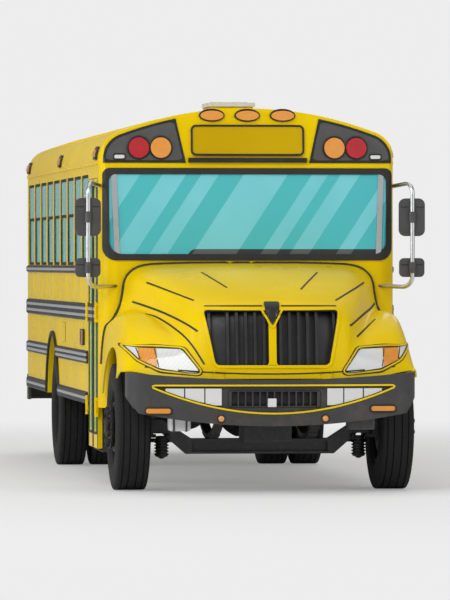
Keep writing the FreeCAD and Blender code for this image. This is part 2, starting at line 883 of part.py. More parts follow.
def sash_tool(side, low_y, high_y, low_z, high_z, depths, radius):
    """A rounded block across the wall between two depths below its outer face."""
    x_span = [side * (half_width - depth) for depth in depths]
    corners = [(low_y, low_z), (high_y, low_z), (high_y, high_z), (low_y, high_z)]
    return prism("x", corners, x_span, radius)


def window_frames():
    """A frame with a middle rail in each side opening."""
    frames = []
    depths = (sash_setback, sash_setback + sash_depth)
    hole_depths = (0, sash_setback + sash_depth + overrun)
    for side, low_y, high_y in window_places():
        ring = sash_tool(side, low_y, high_y, window_low_z, window_high_z, depths, window_corner)
        for low_z, high_z in sash_lights():
            hole = sash_tool(side, low_y + sash, high_y - sash, low_z, high_z, hole_depths, 0)
            ring = ring.cut(hole)
        frames.append(ring)
    return Part.makeCompound(frames)


def sash_lights():
    """The heights of the lower and upper panes of a side window."""
    middle = sash_rail_z
    return ((window_low_z + sash, middle - sash / 2), (middle + sash / 2, window_high_z - sash))


def side_glass():
    """The upper and lower panes of each side window, and the rear cap's two."""
    panes = []
    for side, low_y, high_y in window_places():
        for i, (low_z, high_z) in enumerate(sash_lights()):
            depth = sash_setback + pane_setback - pane_thick * i
            depths = (depth, depth + pane_thick)
            panes.append(sash_tool(side, low_y + sash, high_y - sash, low_z, high_z, depths, 0))
    for tool in both(rear_pane_tool(-running_gap)):
        panes.append(on_body(tool, glass_thick, glass_thick + pane_thick))
    return Part.makeCompound(panes)


# Doors and lids

hinge_length = 160
hinge_barrel = 13
hinge_pin = 6
hinge_leaf = 5
hinge_flap = 46
door_hinges_z = (560, 1340, 2200)
rear_hinges_z = (1300, 1800, 2260)


def door_hinge_axis(rear):
    """Where an entrance leaf turns: ahead of the front leaf or behind the rear one."""
    y = door_rear_y if rear else door_front_y
    return vec(-half_width - hinge_barrel - hinge_standoff, y, 0)


def door_fixings():
    """The fixed hinge halves of the front and rear leaves."""
    groups = []
    for rear in (False, True):
        fixed = hinge(hinge_length, hinge_barrel, hinge_pin, hinge_leaf, hinge_flap)[0]
        groups.append([hinge_on_side(fixed, rear, z) for z in door_hinges_z])
    return groups


def hinge_on_side(shape, rear, z):
    """A hinge half on the right side, with its moving flap towards the doorway's middle."""
    axis = door_hinge_axis(rear)
    if rear:
        return placed(shape, vec(axis.x, axis.y, z + hinge_length), vec(1, 0, 0), vec(0, 0, -1))
    return placed(shape, vec(axis.x, axis.y, z), vec(1, 0, 0), vec(0, 0, 1))


def leaf_spans(rear):
    """The front and rear ends of an entrance leaf."""
    if rear:
        return door_mid_y + leaf_meeting_gap / 2, door_rear_y - moving_gap
    return door_front_y + moving_gap, door_mid_y - leaf_meeting_gap / 2


def leaf_lights():
    """The heights of a leaf's lower and upper panes."""
    low, high = leaf_bar_z
    return ((leaf_kick_z, low), (high, door_high_z - moving_gap - leaf_border))


def door_leaf(rear):
    """An entrance leaf: a frame with a kick panel, a middle bar and two long lights."""
    low_y, high_y = leaf_spans(rear)
    x_span = (-half_width, -half_width + leaf_thick)
    leaf = box(x_span, (low_y, high_y), (door_low_z, door_high_z - moving_gap))
    for low_z, high_z in leaf_lights():
        corners = [(low_y + leaf_border, low_z), (high_y - leaf_border, low_z)]
        corners += [(high_y - leaf_border, high_z), (low_y + leaf_border, high_z)]
        leaf = leaf.cut(prism("x", corners, (-half_width - overrun, -inner_half), window_corner))
    moving = hinge(hinge_length, hinge_barrel, hinge_pin, hinge_leaf, hinge_flap)[1]
    return union([leaf] + [hinge_on_side(moving, rear, z) for z in door_hinges_z])


def door_glass(rear):
    """The two long panes of an entrance leaf."""
    low_y, high_y = leaf_spans(rear)
    outer_x = -half_width + pane_setback
    panes = []
    for low_z, high_z in leaf_lights():
        corners = [(low_y + leaf_border, low_z), (high_y - leaf_border, low_z)]
        corners += [(high_y - leaf_border, high_z), (low_y + leaf_border, high_z)]
        panes.append(prism("x", corners, (outer_x, outer_x + pane_thick), window_corner))
    return Part.makeCompound(panes)


def rear_hinge(half, z):
    """A hinge half on the rear face, with its moving flap towards the middle."""
    y = body_rear_y + hinge_barrel + hinge_standoff
    return placed(half, vec(-rear_door_half, y, z), vec(0, -1, 0), vec(0, 0, 1))


def rear_door_fixings():
    """The fixed hinge halves of the emergency door."""
    fixed = hinge(hinge_length, hinge_barrel, hinge_pin, hinge_leaf, hinge_flap)[0]
    return [[rear_hinge(fixed, z) for z in rear_hinges_z]]


rear_light_low_z = 1830
rear_lower_light_z = (1290, 1680)
handle_length = 180
handle_radius = 11
handle_reach = 45
handle_z = 1760
rear_light_border = 90


def rear_lights():
    """The heights of the emergency door's lower and upper panes."""
    return (rear_lower_light_z, (rear_light_low_z, rear_door_high_z - moving_gap - rear_light_border))


def rear_door():
    """The emergency door, with two lights, its hinges and an outside handle."""
    half = rear_door_half - moving_gap
    y_span = (body_rear_y - leaf_thick, body_rear_y)
    door = box((-half, half), y_span, (floor_z + moving_gap, rear_door_high_z - moving_gap))
    for low_z, high_z in rear_lights():
        corners = [(-half + rear_light_border, low_z), (half - rear_light_border, low_z)]
        corners += [(half - rear_light_border, high_z), (-half + rear_light_border, high_z)]
        door = door.cut(prism("y", corners, (body_rear_y - wall, body_rear_y + overrun), window_corner))
    moving = hinge(hinge_length, hinge_barrel, hinge_pin, hinge_leaf, hinge_flap)[1]
    start = vec(half - handle_length - handle_reach, body_rear_y, handle_z)
    out = vec(0, handle_reach, 0)
    along = vec(handle_length, 0, 0)
    handle = bent_bar([start, start + out, start + out + along, start + along], handle_radius)
    return union([door, handle] + [rear_hinge(moving, z) for z in rear_hinges_z])


def rear_door_glass():
    """The two panes of the emergency door."""
    half = rear_door_half - moving_gap - rear_light_border
    low_y = body_rear_y - leaf_thick / 2
    panes = []
    for low_z, high_z in rear_lights():
        corners = [(-half, low_z), (half, low_z), (half, high_z), (-half, high_z)]
        panes.append(prism("y", corners, (low_y, low_y + pane_thick), window_corner))
    return Part.makeCompound(panes)


hatch_hinge_inset = 60
hatch_hinge_length = 90
hatch_barrel = 9
hatch_pin = 4


def hatch_hinge(half, side):
    """A hinge half behind the hatch, with its moving flap on top of the lid."""
    lid_top = hatch_curb_high_z + moving_gap + hatch_lid_thick
    z = lid_top + hatch_barrel + hinge_standoff
    x = side * (hatch_half - hatch_hinge_inset - hatch_hinge_length / 2) - hatch_hinge_length / 2
    ahead = placed(half, vec(x, hatch_y - hatch_lid_reach, z), vec(0, 0, -1), vec(1, 0, 0))
    return ahead.mirror(vec(0, hatch_y + hatch_length / 2, 0), vec(0, 1, 0))


def hatch_halves():
    """The fixed and moving halves of a hatch hinge."""
    return hinge(hatch_hinge_length, hatch_barrel, hatch_pin, hinge_leaf, hinge_flap)


def hatch_fixings():
    """A small shelf on the roof behind the hatch, carrying the fixed hinge halves."""
    lid_top = hatch_curb_high_z + moving_gap + hatch_lid_thick
    low_y = hatch_y + hatch_length + hatch_lid_reach + moving_gap
    shelf = box((-hatch_half, hatch_half), (low_y, low_y + hinge_flap),
        (arch_spring_z, lid_top)).cut(body_form(0))
    return [union([shelf] + [hatch_hinge(hatch_halves()[0], side) for side in (-1, 1)])]


def roof_hatch():
    """The hatch lid, a shallow tray with a folded rim, and its hinge flaps."""
    low_z = hatch_curb_high_z + moving_gap
    half = hatch_half + hatch_lid_reach
    y_span = (hatch_y - hatch_lid_reach, hatch_y + hatch_length + hatch_lid_reach)
    lid = box((-half, half), y_span, (low_z, low_z + hatch_lid_thick))
    return union([lid] + [hatch_hinge(hatch_halves()[1], side) for side in (-1, 1)])


arm_setback = 620
arm_half = 225
arm_thick = 16
arm_standoff = 22
arm_hinge_length = 220

arm_hinge_y = cap_front_y + arm_setback


def arm_hinge(half):
    """The stop arm's hinge half on the left side, with its moving flap to the rear."""
    x = half_width + rub_reach + hinge_barrel + hinge_standoff
    z = arm_centre_z() - arm_hinge_length / 2
    return placed(half, vec(x, arm_hinge_y, z + arm_hinge_length), vec(-1, 0, 0), vec(0, 0, -1))


def arm_centre_z():
    """The height of the stop arm's middle, between two rub rails."""
    return (rub_rails_z[0][0] + rub_rails_z[1][1]) / 2


def stop_arm_fixings():
    """The block and the fixed hinge half that carry the stop arm."""
    fixed = hinge(arm_hinge_length, hinge_barrel, hinge_pin, hinge_leaf, hinge_flap)[0]
    z = arm_centre_z()
    z_span = (z - arm_hinge_length / 2, z + arm_hinge_length / 2)
    high_y = arm_hinge_y - hinge_barrel - hinge_standoff
    block = box((half_width, half_width + rub_reach), (high_y - hinge_flap, high_y), z_span)
    return [union([block, arm_hinge(fixed)])]


def stop_arm():
    """The eight-sided stop sign on its short arm, folded along the left side."""
    face_x = half_width + rub_reach + arm_standoff
    centre_y = arm_hinge_y + arm_half + hinge_flap
    z = arm_centre_z()
    corner_reach = arm_half / math.cos(math.pi / 8)
    corners = []
    for i in range(8):
        angle = math.pi / 8 + math.pi / 4 * i
        corners.append((centre_y + corner_reach * math.cos(angle), z + corner_reach * math.sin(angle)))
    blade = prism("x", corners, (face_x, face_x + arm_thick))
    moving = hinge(arm_hinge_length, hinge_barrel, hinge_pin, hinge_leaf, hinge_flap)[1]
    stem_z = (z - arm_hinge_length / 4, z + arm_hinge_length / 4)
    stem = box((half_width + rub_reach - hinge_leaf, face_x + arm_thick),
        (arm_hinge_y + hinge_flap / 2, arm_hinge_y + hinge_flap + hinge_barrel), stem_z)
    return union([blade, stem, arm_hinge(moving)])


# The hood

# Each line runs from the cowl to the nose. Its points are shares of the hood's length,
# of the half width and of the hood's rise, from the middle line outwards to the hem.
hood_line_shares = [
    [(0, 0, 1), (0.28, 0, 0.98), (0.56, 0, 0.89), (0.86, 0, 0.75), (0.955, 0, 0.68), (0.975, 0, 0.40),
        (0.99, 0, 0.143)],
    [(0, 0.45, 1), (0.28, 0.41, 0.97), (0.56, 0.36, 0.88), (0.85, 0.31, 0.74), (0.945, 0.30, 0.66),
        (0.965, 0.28, 0.40), (0.985, 0.27, 0.143)],
    [(0, 0.83, 0.98), (0.28, 0.74, 0.94), (0.56, 0.65, 0.82), (0.80, 0.56, 0.68), (0.91, 0.51, 0.60),
        (0.955, 0.47, 0.38), (0.975, 0.46, 0.143)],
    [(0, 0.86, 0.68), (0.28, 0.78, 0.66), (0.56, 0.68, 0.57), (0.77, 0.60, 0.47), (0.87, 0.56, 0.41),
        (0.93, 0.54, 0.31), (0.96, 0.53, 0.145)],
    [(0, 0.92, 0.55), (0.28, 0.86, 0.65), (0.52, 0.81, 0.65), (0.72, 0.76, 0.54), (0.82, 0.73, 0.42),
        (0.89, 0.72, 0.31), (0.92, 0.71, 0.155)],
    [(0, 0.99, 0.50), (0.28, 0.985, 0.57), (0.52, 0.97, 0.56), (0.70, 0.955, 0.46), (0.79, 0.93, 0.35),
        (0.84, 0.91, 0.28), (0.87, 0.90, 0.198)],
    [(0, 1, 0), (0.28, 1, 0.02), (0.52, 1, 0.06), (0.68, 1, 0.10), (0.76, 0.99, 0.16),
        (0.80, 0.975, 0.205), (0.83, 0.965, 0.206)],
]
grille_half_high = 535
grille_half_low = 450
grille_low_z = 1018
grille_high_z = 1448
grille_corner = 28
grille_bar = 60
slat_count = 7
slat_share = 0.32
slat_depth = 45
slat_setback = 20
lamp_gap = 0.4
lamp_points = [(578, 975), (712, 1148), (905, 1153), (1045, 1160), (1140, 1176), (1036, 1056), (880, 990),
    (606, 950)]
turn_lamp_x = (905, 1045)
hood_hinge_y = front_y + 105
hood_hinge_z = 885
hood_hinge_x = 390
hood_hinge_length = 80
hood_arm = 16


def hood_net(depth):
    """The hood's control points, moved a depth inwards."""
    lines = []
    for share_line in hood_line_shares:
        line = []
        for along_share, width_share, rise_share in share_line:
            place = vec(width_share * half_width, hood_rear_y - hood_length * along_share,
                hood_low_z + hood_rise * rise_share)
            line.append(place)
        lines.append(line)
    left = [[vec(-p.x, p.y, p.z) for p in line] for line in reversed(lines)]
    net = left + lines[1:]
    moved = []
    for i in range(len(net)):
        line = []
        for j in range(len(net[i])):
            across = net[min(i + 1, len(net) - 1)][j] - net[max(i - 1, 0)][j]
            along = net[i][min(j + 1, len(net[i]) - 1)] - net[i][max(j - 1, 0)]
            inward = across.cross(along).normalize()
            line.append(net[i][j] + inward * depth)
        moved.append(line)
    return moved


def smooth_sheet(net):
    """A smooth surface of second degree held by a net of points."""
    degree = 2
    knots = []
    for count in (len(net), len(net[0])):
        knots.append([degree + 1] + [1] * (count - degree - 1) + [degree + 1])
    surface = Part.BSplineSurface()
    places = [[float(i) for i in range(len(times))] for times in knots]
    surface.buildFromPolesMultsKnots(net, knots[0], knots[1], places[0], places[1], False, False, degree,
        degree)
    return surface


def border(surface, which):
    """One of a surface's four border curves."""
    low_u, high_u, low_v, high_v = surface.bounds()
    if which < 2:
        return surface.uIso((low_u, high_u)[which]).toShape()
    return surface.vIso((low_v, high_v)[which - 2]).toShape()


def hood_skin(out, depth):
    """The closed solid between two depths below the hood's outer surface."""
    outer = smooth_sheet(hood_net(out))
    inner = smooth_sheet(hood_net(depth))
    faces = [outer.toShape(), inner.toShape()]
    for which in range(4):
        faces.append(Part.makeRuledSurface(border(outer, which), border(inner, which)))
    shell = Part.makeCompound(faces)
    shell.sewShape()
    solid = Part.makeSolid(Part.Shell(shell.Faces))
    if solid.Volume < 0:
        solid.reverse()
    return solid


def nose_prism(points, radius):
    """An outline in the front view, run back through the hood's nose."""
    low_y = front_y - overrun
    return prism("y", points, (low_y, front_axle_y), radius)


def grille_points(grow):
    """The left half of the grille's opening, beside the middle bar."""
    low_x = grille_bar / 2 - grow
    points = [(low_x, grille_low_z - grow), (grille_half_low + grow, grille_low_z - grow)]
    return points + [(grille_half_high + grow, grille_high_z + grow), (low_x, grille_high_z + grow)]


def grown(points, grow):
    """An outline whose points move away from its middle by about the given length."""
    middle_x = sum(point[0] for point in points) / len(points)
    middle_z = sum(point[1] for point in points) / len(points)
    moved = []
    for x, z in points:
        reach = math.hypot(x - middle_x, z - middle_z)
        share = (reach + grow) / reach
        moved.append((middle_x + (x - middle_x) * share, middle_z + (z - middle_z) * share))
    return moved


def hood():
    """The tilting hood: dome, fenders and nose in one skin, cut for wheels, grille and lamps."""
    skin = hood_skin(0, hood_thick)
    start = vec(-half_width - overrun, front_axle_y, tyre_radius)
    end = vec(half_width + overrun, front_axle_y, tyre_radius)
    skin = skin.cut(rod(start, end, front_arch))
    for opening in both(nose_prism(grille_points(0), grille_corner)):
        skin = skin.cut(opening)
    for opening in both(nose_prism(lamp_points, 0)):
        skin = skin.cut(opening)
    return union([skin] + hood_arms())


def hood_arms():
    """The two bent arms inside the nose that turn on the hinge pins."""
    drop = hood_hinge_z
    reach = hood_hinge_y
    barrel = rod(vec(hood_hinge_x, reach, drop), vec(hood_hinge_x + hood_hinge_length, reach, drop), hood_arm)
    points = [(reach, drop - hood_arm), (reach + 3 * hood_arm, drop - hood_arm),
        (reach + 5 * hood_arm, drop + hood_arm)]
    points += [(reach + 5 * hood_arm, drop + tilt_drop + 2 * hood_arm),
        (hood_nose_y + hood_arm, drop + tilt_drop + 2 * hood_arm)]
    points += [(hood_nose_y + hood_arm + hood_thick / 2, drop + tilt_drop),
        (reach + hood_arm, drop + hood_arm), (reach, drop + hood_arm)]
    arm = prism("x", points, (hood_hinge_x, hood_hinge_x + hood_hinge_length))
    arm = arm.fuse(barrel)
    hole = rod(vec(0, reach, drop), vec(half_width, reach, drop), hinge_pin * 2 + running_gap)
    return both(arm.cut(hole))


def hood_hinge_posts():
    """The posts on the rails' front ends that hold the hood's hinge pins."""
    pin_reach = hood_hinge_length + 2 * hood_arm
    start_x = hood_hinge_x - hood_arm
    pin = rod(vec(start_x, hood_hinge_y, hood_hinge_z),
        vec(start_x + pin_reach, hood_hinge_y, hood_hinge_z), hinge_pin * 2)
    posts = []
    for x in (hood_hinge_x - hood_arm - moving_gap, hood_hinge_x + hood_hinge_length + moving_gap):
        z_span = (hood_hinge_z - 3 * hood_arm, hood_hinge_z + hood_arm)
        posts.append(box((x, x + hood_arm), (hood_hinge_y - hood_arm, rail_front_y + overrun), z_span))
    return posts + [pin]


def grille():
    """Upright slats across both halves of the grille's opening, behind the skin, on a frame."""
    inner = hood_skin(hood_thick + running_gap, hood_thick + slat_depth)
    window = nose_prism(grille_points(0), grille_corner)
    frame = nose_prism(grille_points(slat_setback), grille_corner).cut(window)
    pitch = (grille_half_high - grille_bar / 2) / slat_count
    slats = []
    for i in range(slat_count):
        low_x = grille_bar / 2 + pitch * (i + (1 - slat_share) / 2)
        slats.append(box((low_x, low_x + pitch * slat_share), (front_y, front_axle_y), (0, crown_z)))
    bars = window.common(Part.makeCompound(slats))
    half = Part.makeCompound([frame, bars]).common(inner)
    return Part.makeCompound(both(union(half.Solids)))


def lamp_blocks(low_x, high_x, depth):
    """The lamp lens between two distances from the middle, on both sides."""
    inner = hood_skin(0, depth)
    tool = nose_prism(grown(lamp_points, -lamp_gap * 2), 0)
    band = box((low_x, high_x), (front_y - overrun, front_axle_y), (0, crown_z))
    lens = tool.common(band).common(inner)
    return Part.makeCompound(both(lens))


def headlamps():
    """The clear lens of each headlamp, inboard and at the tip of its turn lamp."""
    inboard = lamp_blocks(0, turn_lamp_x[0] - lamp_gap, hood_thick)
    tip = lamp_blocks(turn_lamp_x[1] + lamp_gap, half_width, hood_thick)
    return Part.makeCompound([inboard, tip])


def hood_turn_lamps():
    """The amber part of each front lamp."""
    return lamp_blocks(turn_lamp_x[0], turn_lamp_x[1], hood_thick)


# Steering and wheels

fork_plate = 28
fork_gap = 6
fork_radius = 42
arm_length = 220
arm_width = 44
tie_z = 392
tie_radius = 17
eye_radius = 26
ball_radius = 11
upright_x = (930, 962)
upright_half = 48
spindle_end_x = 1150
shoulder_drop = 42
rim_share = 0.76
shoulder_share = 0.86
wall_bulge_share = 0.97


def knuckle():
    """The left steering knuckle: fork, kingpin, spindle and steering arm."""
    boss_low_z = tyre_radius - boss_height / 2
    boss_high_z = tyre_radius + boss_height / 2
    low_z = boss_low_z - fork_gap - fork_plate
    high_z = boss_high_z + fork_gap
    foot = vec(kingpin_x, front_axle_y, low_z)
    full = boss_high_z + fork_gap + fork_plate - low_z
    pieces = [Part.makeCylinder(kingpin_radius, full, foot)]
    y_span = (front_axle_y - fork_radius, front_axle_y + fork_radius)
    for z in (low_z, high_z):
        pieces.append(Part.makeCylinder(fork_radius, fork_plate, vec(kingpin_x, front_axle_y, z)))
        pieces.append(box((kingpin_x, upright_x[1]), y_span, (z, z + fork_plate)))
    pieces.append(box(upright_x, (front_axle_y - upright_half, front_axle_y + upright_half),
        (low_z, low_z + full)))
    start = vec(upright_x[0], front_axle_y, tyre_radius)
    pieces.append(rod(start, vec(spindle_end_x, front_axle_y, tyre_radius), spindle_radius))
    arm_span = (front_axle_y, front_axle_y + arm_length)
    pieces.append(box((kingpin_x - arm_width / 2, kingpin_x + arm_width / 2), arm_span,
        (low_z, low_z + fork_plate)))
    pieces.append(Part.makeCylinder(arm_width / 2, fork_plate,
        vec(kingpin_x, front_axle_y + arm_length, low_z)))
    ball_low_z = tie_z - tie_radius - fork_gap
    pieces.append(Part.makeCylinder(ball_radius, low_z - ball_low_z,
        vec(kingpin_x, front_axle_y + arm_length, ball_low_z)))
    return union(pieces)


def tie_rod():
    """The rod across between the two steering arms, with an eye at each end."""
    y = front_axle_y + arm_length
    bar = rod(vec(-kingpin_x, y, tie_z), vec(kingpin_x, y, tie_z), tie_radius)
    pieces = [bar]
    for side in (-1, 1):
        pieces.append(Part.makeCylinder(eye_radius, 2 * tie_radius,
            vec(side * kingpin_x, y, tie_z - tie_radius)))
    whole = union(pieces)
    for side in (-1, 1):
        whole = whole.cut(Part.makeCylinder(ball_radius + running_gap, 4 * tie_radius,
            vec(side * kingpin_x, y, tie_z - 2 * tie_radius)))
    return whole


def tyre(centre_x, width):
    """A tyre with bulged walls, square shoulders and its bead on the rim."""
    half = width / 2
    rim_half = half * rim_share
    seat = rim_half - rim_thick
    shoulder = half * shoulder_share
    bulge_radius = (rim_lip + tyre_radius) / 2
    points = [(-seat, rim_radius), (-seat, rim_lip), (-rim_half, rim_lip)]
    edge = half * wall_bulge_share
    edge_radius = tyre_radius - shoulder_drop
    points += [(-half, bulge_radius), (-edge, edge_radius), (-shoulder, tyre_radius)]
    points += [(shoulder, tyre_radius), (edge, edge_radius), (half, bulge_radius)]
    points += [(rim_half, rim_lip), (seat, rim_lip), (seat, rim_radius)]
    return revolved(points, vec(centre_x, 0, tyre_radius), vec(1, 0, 0))


rim_dish = 95
hub_cap_reach = 40
hub_depth = 125


def rim(centre_x, width, disc_at, out):
    """A wheel's barrel and dished disc, whose hub face looks outwards or inwards."""
    half = width / 2 * rim_share
    barrel = [(-half, rim_lip), (-half, rim_radius - rim_thick), (half, rim_radius - rim_thick),
        (half, rim_lip)]
    barrel += [(half - rim_thick, rim_lip), (half - rim_thick, rim_radius)]
    barrel += [(rim_thick - half, rim_radius), (rim_thick - half, rim_lip)]
    ring_radius = rim_radius - rim_thick
    shallow = disc_at - out * rim_dish
    disc = [(disc_at, 0), (disc_at, stud_circle + stud_radius * 3), (shallow, ring_radius),
        (shallow - out * rim_thick, ring_radius)]
    disc += [(disc_at - out * rim_thick, stud_circle + stud_radius * 3), (disc_at - out * rim_thick, 0)]
    centre = vec(centre_x, 0, tyre_radius)
    solid = union([revolved(barrel, centre, vec(1, 0, 0)), revolved(disc, centre, vec(1, 0, 0))])
    for i in range(hand_hole_count):
        angle = 2 * math.pi * i / hand_hole_count
        spot = vec(centre_x - half, hand_hole_circle * math.cos(angle),
            tyre_radius + hand_hole_circle * math.sin(angle))
        solid = solid.cut(Part.makeCylinder(hand_hole_radius, width, spot, vec(1, 0, 0)))
    return solid


def hexagon(centre, reach):
    """The corners of a nut about a centre."""
    corners = []
    for i in range(6):
        angle = math.pi / 3 * i
        corners.append((centre[0] + reach * math.cos(angle), centre[1] + reach * math.sin(angle)))
    return corners


def studs(face_x, out):
    """A ring of wheel nuts standing out of a disc."""
    nuts = []
    for i in range(stud_count):
        angle = 2 * math.pi * i / stud_count
        foot = (stud_circle * math.cos(angle), tyre_radius + stud_circle * math.sin(angle))
        nuts.append(prism("x", hexagon(foot, stud_radius), (face_x, face_x + out * stud_reach)))
    return nuts


def front_rim():
    """The left front wheel with its hub, nuts and brake drum."""
    wheel = rim(front_wheel_x, tyre_width, hub_depth, 1)
    face_x = front_wheel_x + hub_depth
    hub_start = upright_x[1] + moving_gap
    cap_end = face_x + hub_cap_reach
    hub = rod(vec(hub_start, 0, tyre_radius), vec(cap_end, 0, tyre_radius), hub_radius)
    drum = rod(vec(hub_start, 0, tyre_radius), vec(hub_start + hub_radius, 0, tyre_radius), drum_radius)
    bore = rod(vec(hub_start - overrun, 0, tyre_radius), vec(spindle_end_x + moving_gap, 0, tyre_radius),
        spindle_radius + running_gap)
    whole = union([wheel, hub, drum] + studs(face_x, 1)).cut(bore)
    whole.translate(vec(0, front_axle_y, 0))
    return whole


def front_tyre():
    """The left front tyre."""
    piece = tyre(front_wheel_x, tyre_width)
    piece.translate(vec(0, front_axle_y, 0))
    return piece


def rear_tyres():
    """The left rear pair of tyres."""
    pair = []
    for side in (-1, 1):
        pair.append(tyre(rear_wheel_x + side * twin_pitch / 2, rear_tyre_width))
    whole = Part.makeCompound(pair)
    whole.translate(vec(0, rear_axle_y, 0))
    return whole


def rear_rims():
    """The left rear pair of wheels, back to back on one hub with its drum."""
    outer_x = rear_wheel_x + twin_pitch / 2
    inner_x = rear_wheel_x - twin_pitch / 2
    outer = rim(outer_x, rear_tyre_width, rear_wheel_x - outer_x + rim_thick, -1)
    inner = rim(inner_x, rear_tyre_width, rear_wheel_x - inner_x, 1)
    start = inner_x - rear_tyre_width / 2
    cap_x = rear_wheel_x + hub_depth + hub_cap_reach
    hub = rod(vec(start + axle_tube, 0, tyre_radius), vec(cap_x, 0, tyre_radius), hub_radius)
    drum = rod(vec(start + axle_tube, 0, tyre_radius), vec(inner_x + rear_tyre_width / 4, 0, tyre_radius),
        drum_radius)
    bore = rod(vec(0, 0, tyre_radius), vec(axle_end_x + moving_gap, 0, tyre_radius),
        axle_end_radius + running_gap)
    whole = union([outer, inner, hub, drum] + studs(rear_wheel_x + rim_thick, 1)).cut(bore)
    whole.translate(vec(0, rear_axle_y, 0))
    return whole


# Bumpers

bumper_half = 1150
bumper_cut = 85
bumper_cut_high_z = 770
bumper_mid_high_z = 905
bumper_end_high_z = 970
bumper_mid_low_z = 540
bumper_end_low_z = 640
bumper_thick = 62
bumper_bow = 70
bumper_wrap = 395
bumper_corner = 190
smile_half = 940
smile_high_z = 855
smile_mid_low_z = 648
smile_depth = 26
vent_half = 345
vent_high_z = 812
vent_low_z = 700
vent_count = 12
smile_tip = 14


def bow(half, middle_z, end_z):
    """A line across the bus that is at one height in the middle and another at its ends."""
    left = vec(-half, 0, end_z)
    right = vec(half, 0, end_z)
    return Part.Arc(left, vec(0, 0, middle_z), right).toShape()


def bumper_outline():
    """The front view of the bumper: two bowed lines, square ends above and slanting corners below."""
    reach = bumper_half + overrun
    foot = bumper_half - bumper_cut
    slant_share = (bumper_cut_high_z - bumper_end_low_z) / bumper_cut
    side_low_z = bumper_cut_high_z + slant_share * overrun
    edges = [bow(reach, bumper_mid_high_z, bumper_end_high_z), bow(foot, bumper_mid_low_z, bumper_end_low_z)]
    for side in (-1, 1):
        low = vec(side * foot, 0, bumper_end_low_z)
        corner = vec(side * reach, 0, side_low_z)
        edges.append(Part.makeLine(low, corner))
        edges.append(Part.makeLine(corner, vec(side * reach, 0, bumper_end_high_z)))
    face = Part.Face(Part.Wire(Part.__sortEdges__(edges)))
    face.translate(vec(0, front_y - overrun, 0))
    return face.extrude(vec(0, bumper_wrap + 2 * overrun, 0))


def bumper_plan(inset):
    """The space behind the bumper's face: a bowed front, rounded corners and short returns."""
    half = bumper_half - inset
    nose_y = front_y + inset
    side_y = nose_y + bumper_bow
    turn = bumper_corner - inset
    front = Part.Arc(vec(-half + turn, side_y, 0), vec(0, nose_y, 0), vec(half - turn, side_y, 0)).toShape()
    back_y = front_y + bumper_wrap + inset
    lean = turn * (1 - math.cos(math.pi / 4))
    edges = [front]
    for side in (-1, 1):
        start = vec(side * (half - turn), side_y, 0)
        middle = vec(side * (half - lean), side_y + lean, 0)
        end = vec(side * half, side_y + turn, 0)
        edges.append(Part.Arc(start, middle, end).toShape())
        edges.append(Part.makeLine(end, vec(side * half, back_y, 0)))
    edges.append(Part.makeLine(vec(-half, back_y, 0), vec(half, back_y, 0)))
    face = Part.Face(Part.Wire(Part.__sortEdges__(edges)))
    return face.extrude(vec(0, 0, crown_z))


def smile_tool():
    """The front view of the long recess in the bumper's face, run back through it."""
    low_z = smile_high_z - smile_tip
    corners = [vec(-smile_half, 0, low_z), vec(-smile_half, 0, smile_high_z)]
    corners += [vec(smile_half, 0, smile_high_z), vec(smile_half, 0, low_z)]
    low = Part.Arc(corners[0], vec(0, 0, smile_mid_low_z), corners[3]).toShape()
    face = Part.Face(Part.Wire(Part.__sortEdges__(Part.makePolygon(corners).Edges + [low])))
    face.translate(vec(0, front_y - overrun, 0))
    return face.extrude(vec(0, bumper_wrap, 0))


fog_high_z = 838
fog_low_z = 705
fog_inner_x = 420
fog_outer_x = 860
fog_divide = 10
fog_share = (0.30, 0.66)


def front_bumper():
    """The bowed front bumper with its recess, its vent slots and the brackets behind it."""
    band = bumper_plan(0).cut(bumper_plan(bumper_thick)).common(bumper_outline())
    band = band.cut(smile_tool().cut(bumper_plan(smile_depth)))
    pitch = 2 * vent_half / vent_count
    slot = box((0, pitch - fog_divide), (front_y, front_y + bumper_wrap), (vent_low_z, vent_high_z))
    slot.translate(vec(fog_divide / 2 - vent_half, 0, 0))
    band = band.cut(Part.makeCompound(row(slot, vent_count, vec(pitch, 0, 0))))
    low_z = rail_high_z - rail_depth + 2 * rail_web
    high_z = hood_hinge_z - 3 * hood_arm
    brackets = []
    for side in (-1, 1):
        x_span = (side * (rail_x - rail_flange), side * (rail_x - rail_web))
        bracket = box(x_span, (front_y, rail_front_y), (low_z, high_z))
        brackets.append(bracket.common(bumper_plan(bumper_thick / 2)))
    return union([band] + brackets)


rear_bumper_low_z = 520
rear_bumper_high_z = 760
rear_bumper_thick = 26


def rear_bumper():
    """The plain wrapped rear bumper, on the ends of the rails."""
    high_y = overall_length / 2
    low_y = cap_rear_y
    corners = [(-half_width, low_y), (half_width, low_y), (half_width, high_y), (-half_width, high_y)]
    outer = prism("z", corners, (rear_bumper_low_z, rear_bumper_high_z), [0, 0, corner_radius, corner_radius])
    inner_half_x = half_width - rear_bumper_thick
    inner_y = high_y - rear_bumper_thick
    hole = [(-inner_half_x, low_y - overrun), (inner_half_x, low_y - overrun), (inner_half_x, inner_y),
        (-inner_half_x, inner_y)]
    radius = corner_radius - rear_bumper_thick
    band = outer.cut(prism("z", hole, (0, crown_z), [0, 0, radius, radius]))
    bars = []
    for side in (-1, 1):
        x_span = (side * (rail_x - rail_flange), side * rail_x)
        bars.append(box(x_span, (rail_rear_y, inner_y + rear_bumper_thick / 2),
            (rail_high_z - rail_depth, rear_bumper_high_z)))
    return union([band] + bars)


eye_thick = 34
eye_out_radius = 40
eye_hole_radius = 24
eye_reach = 35
eye_foot = 160


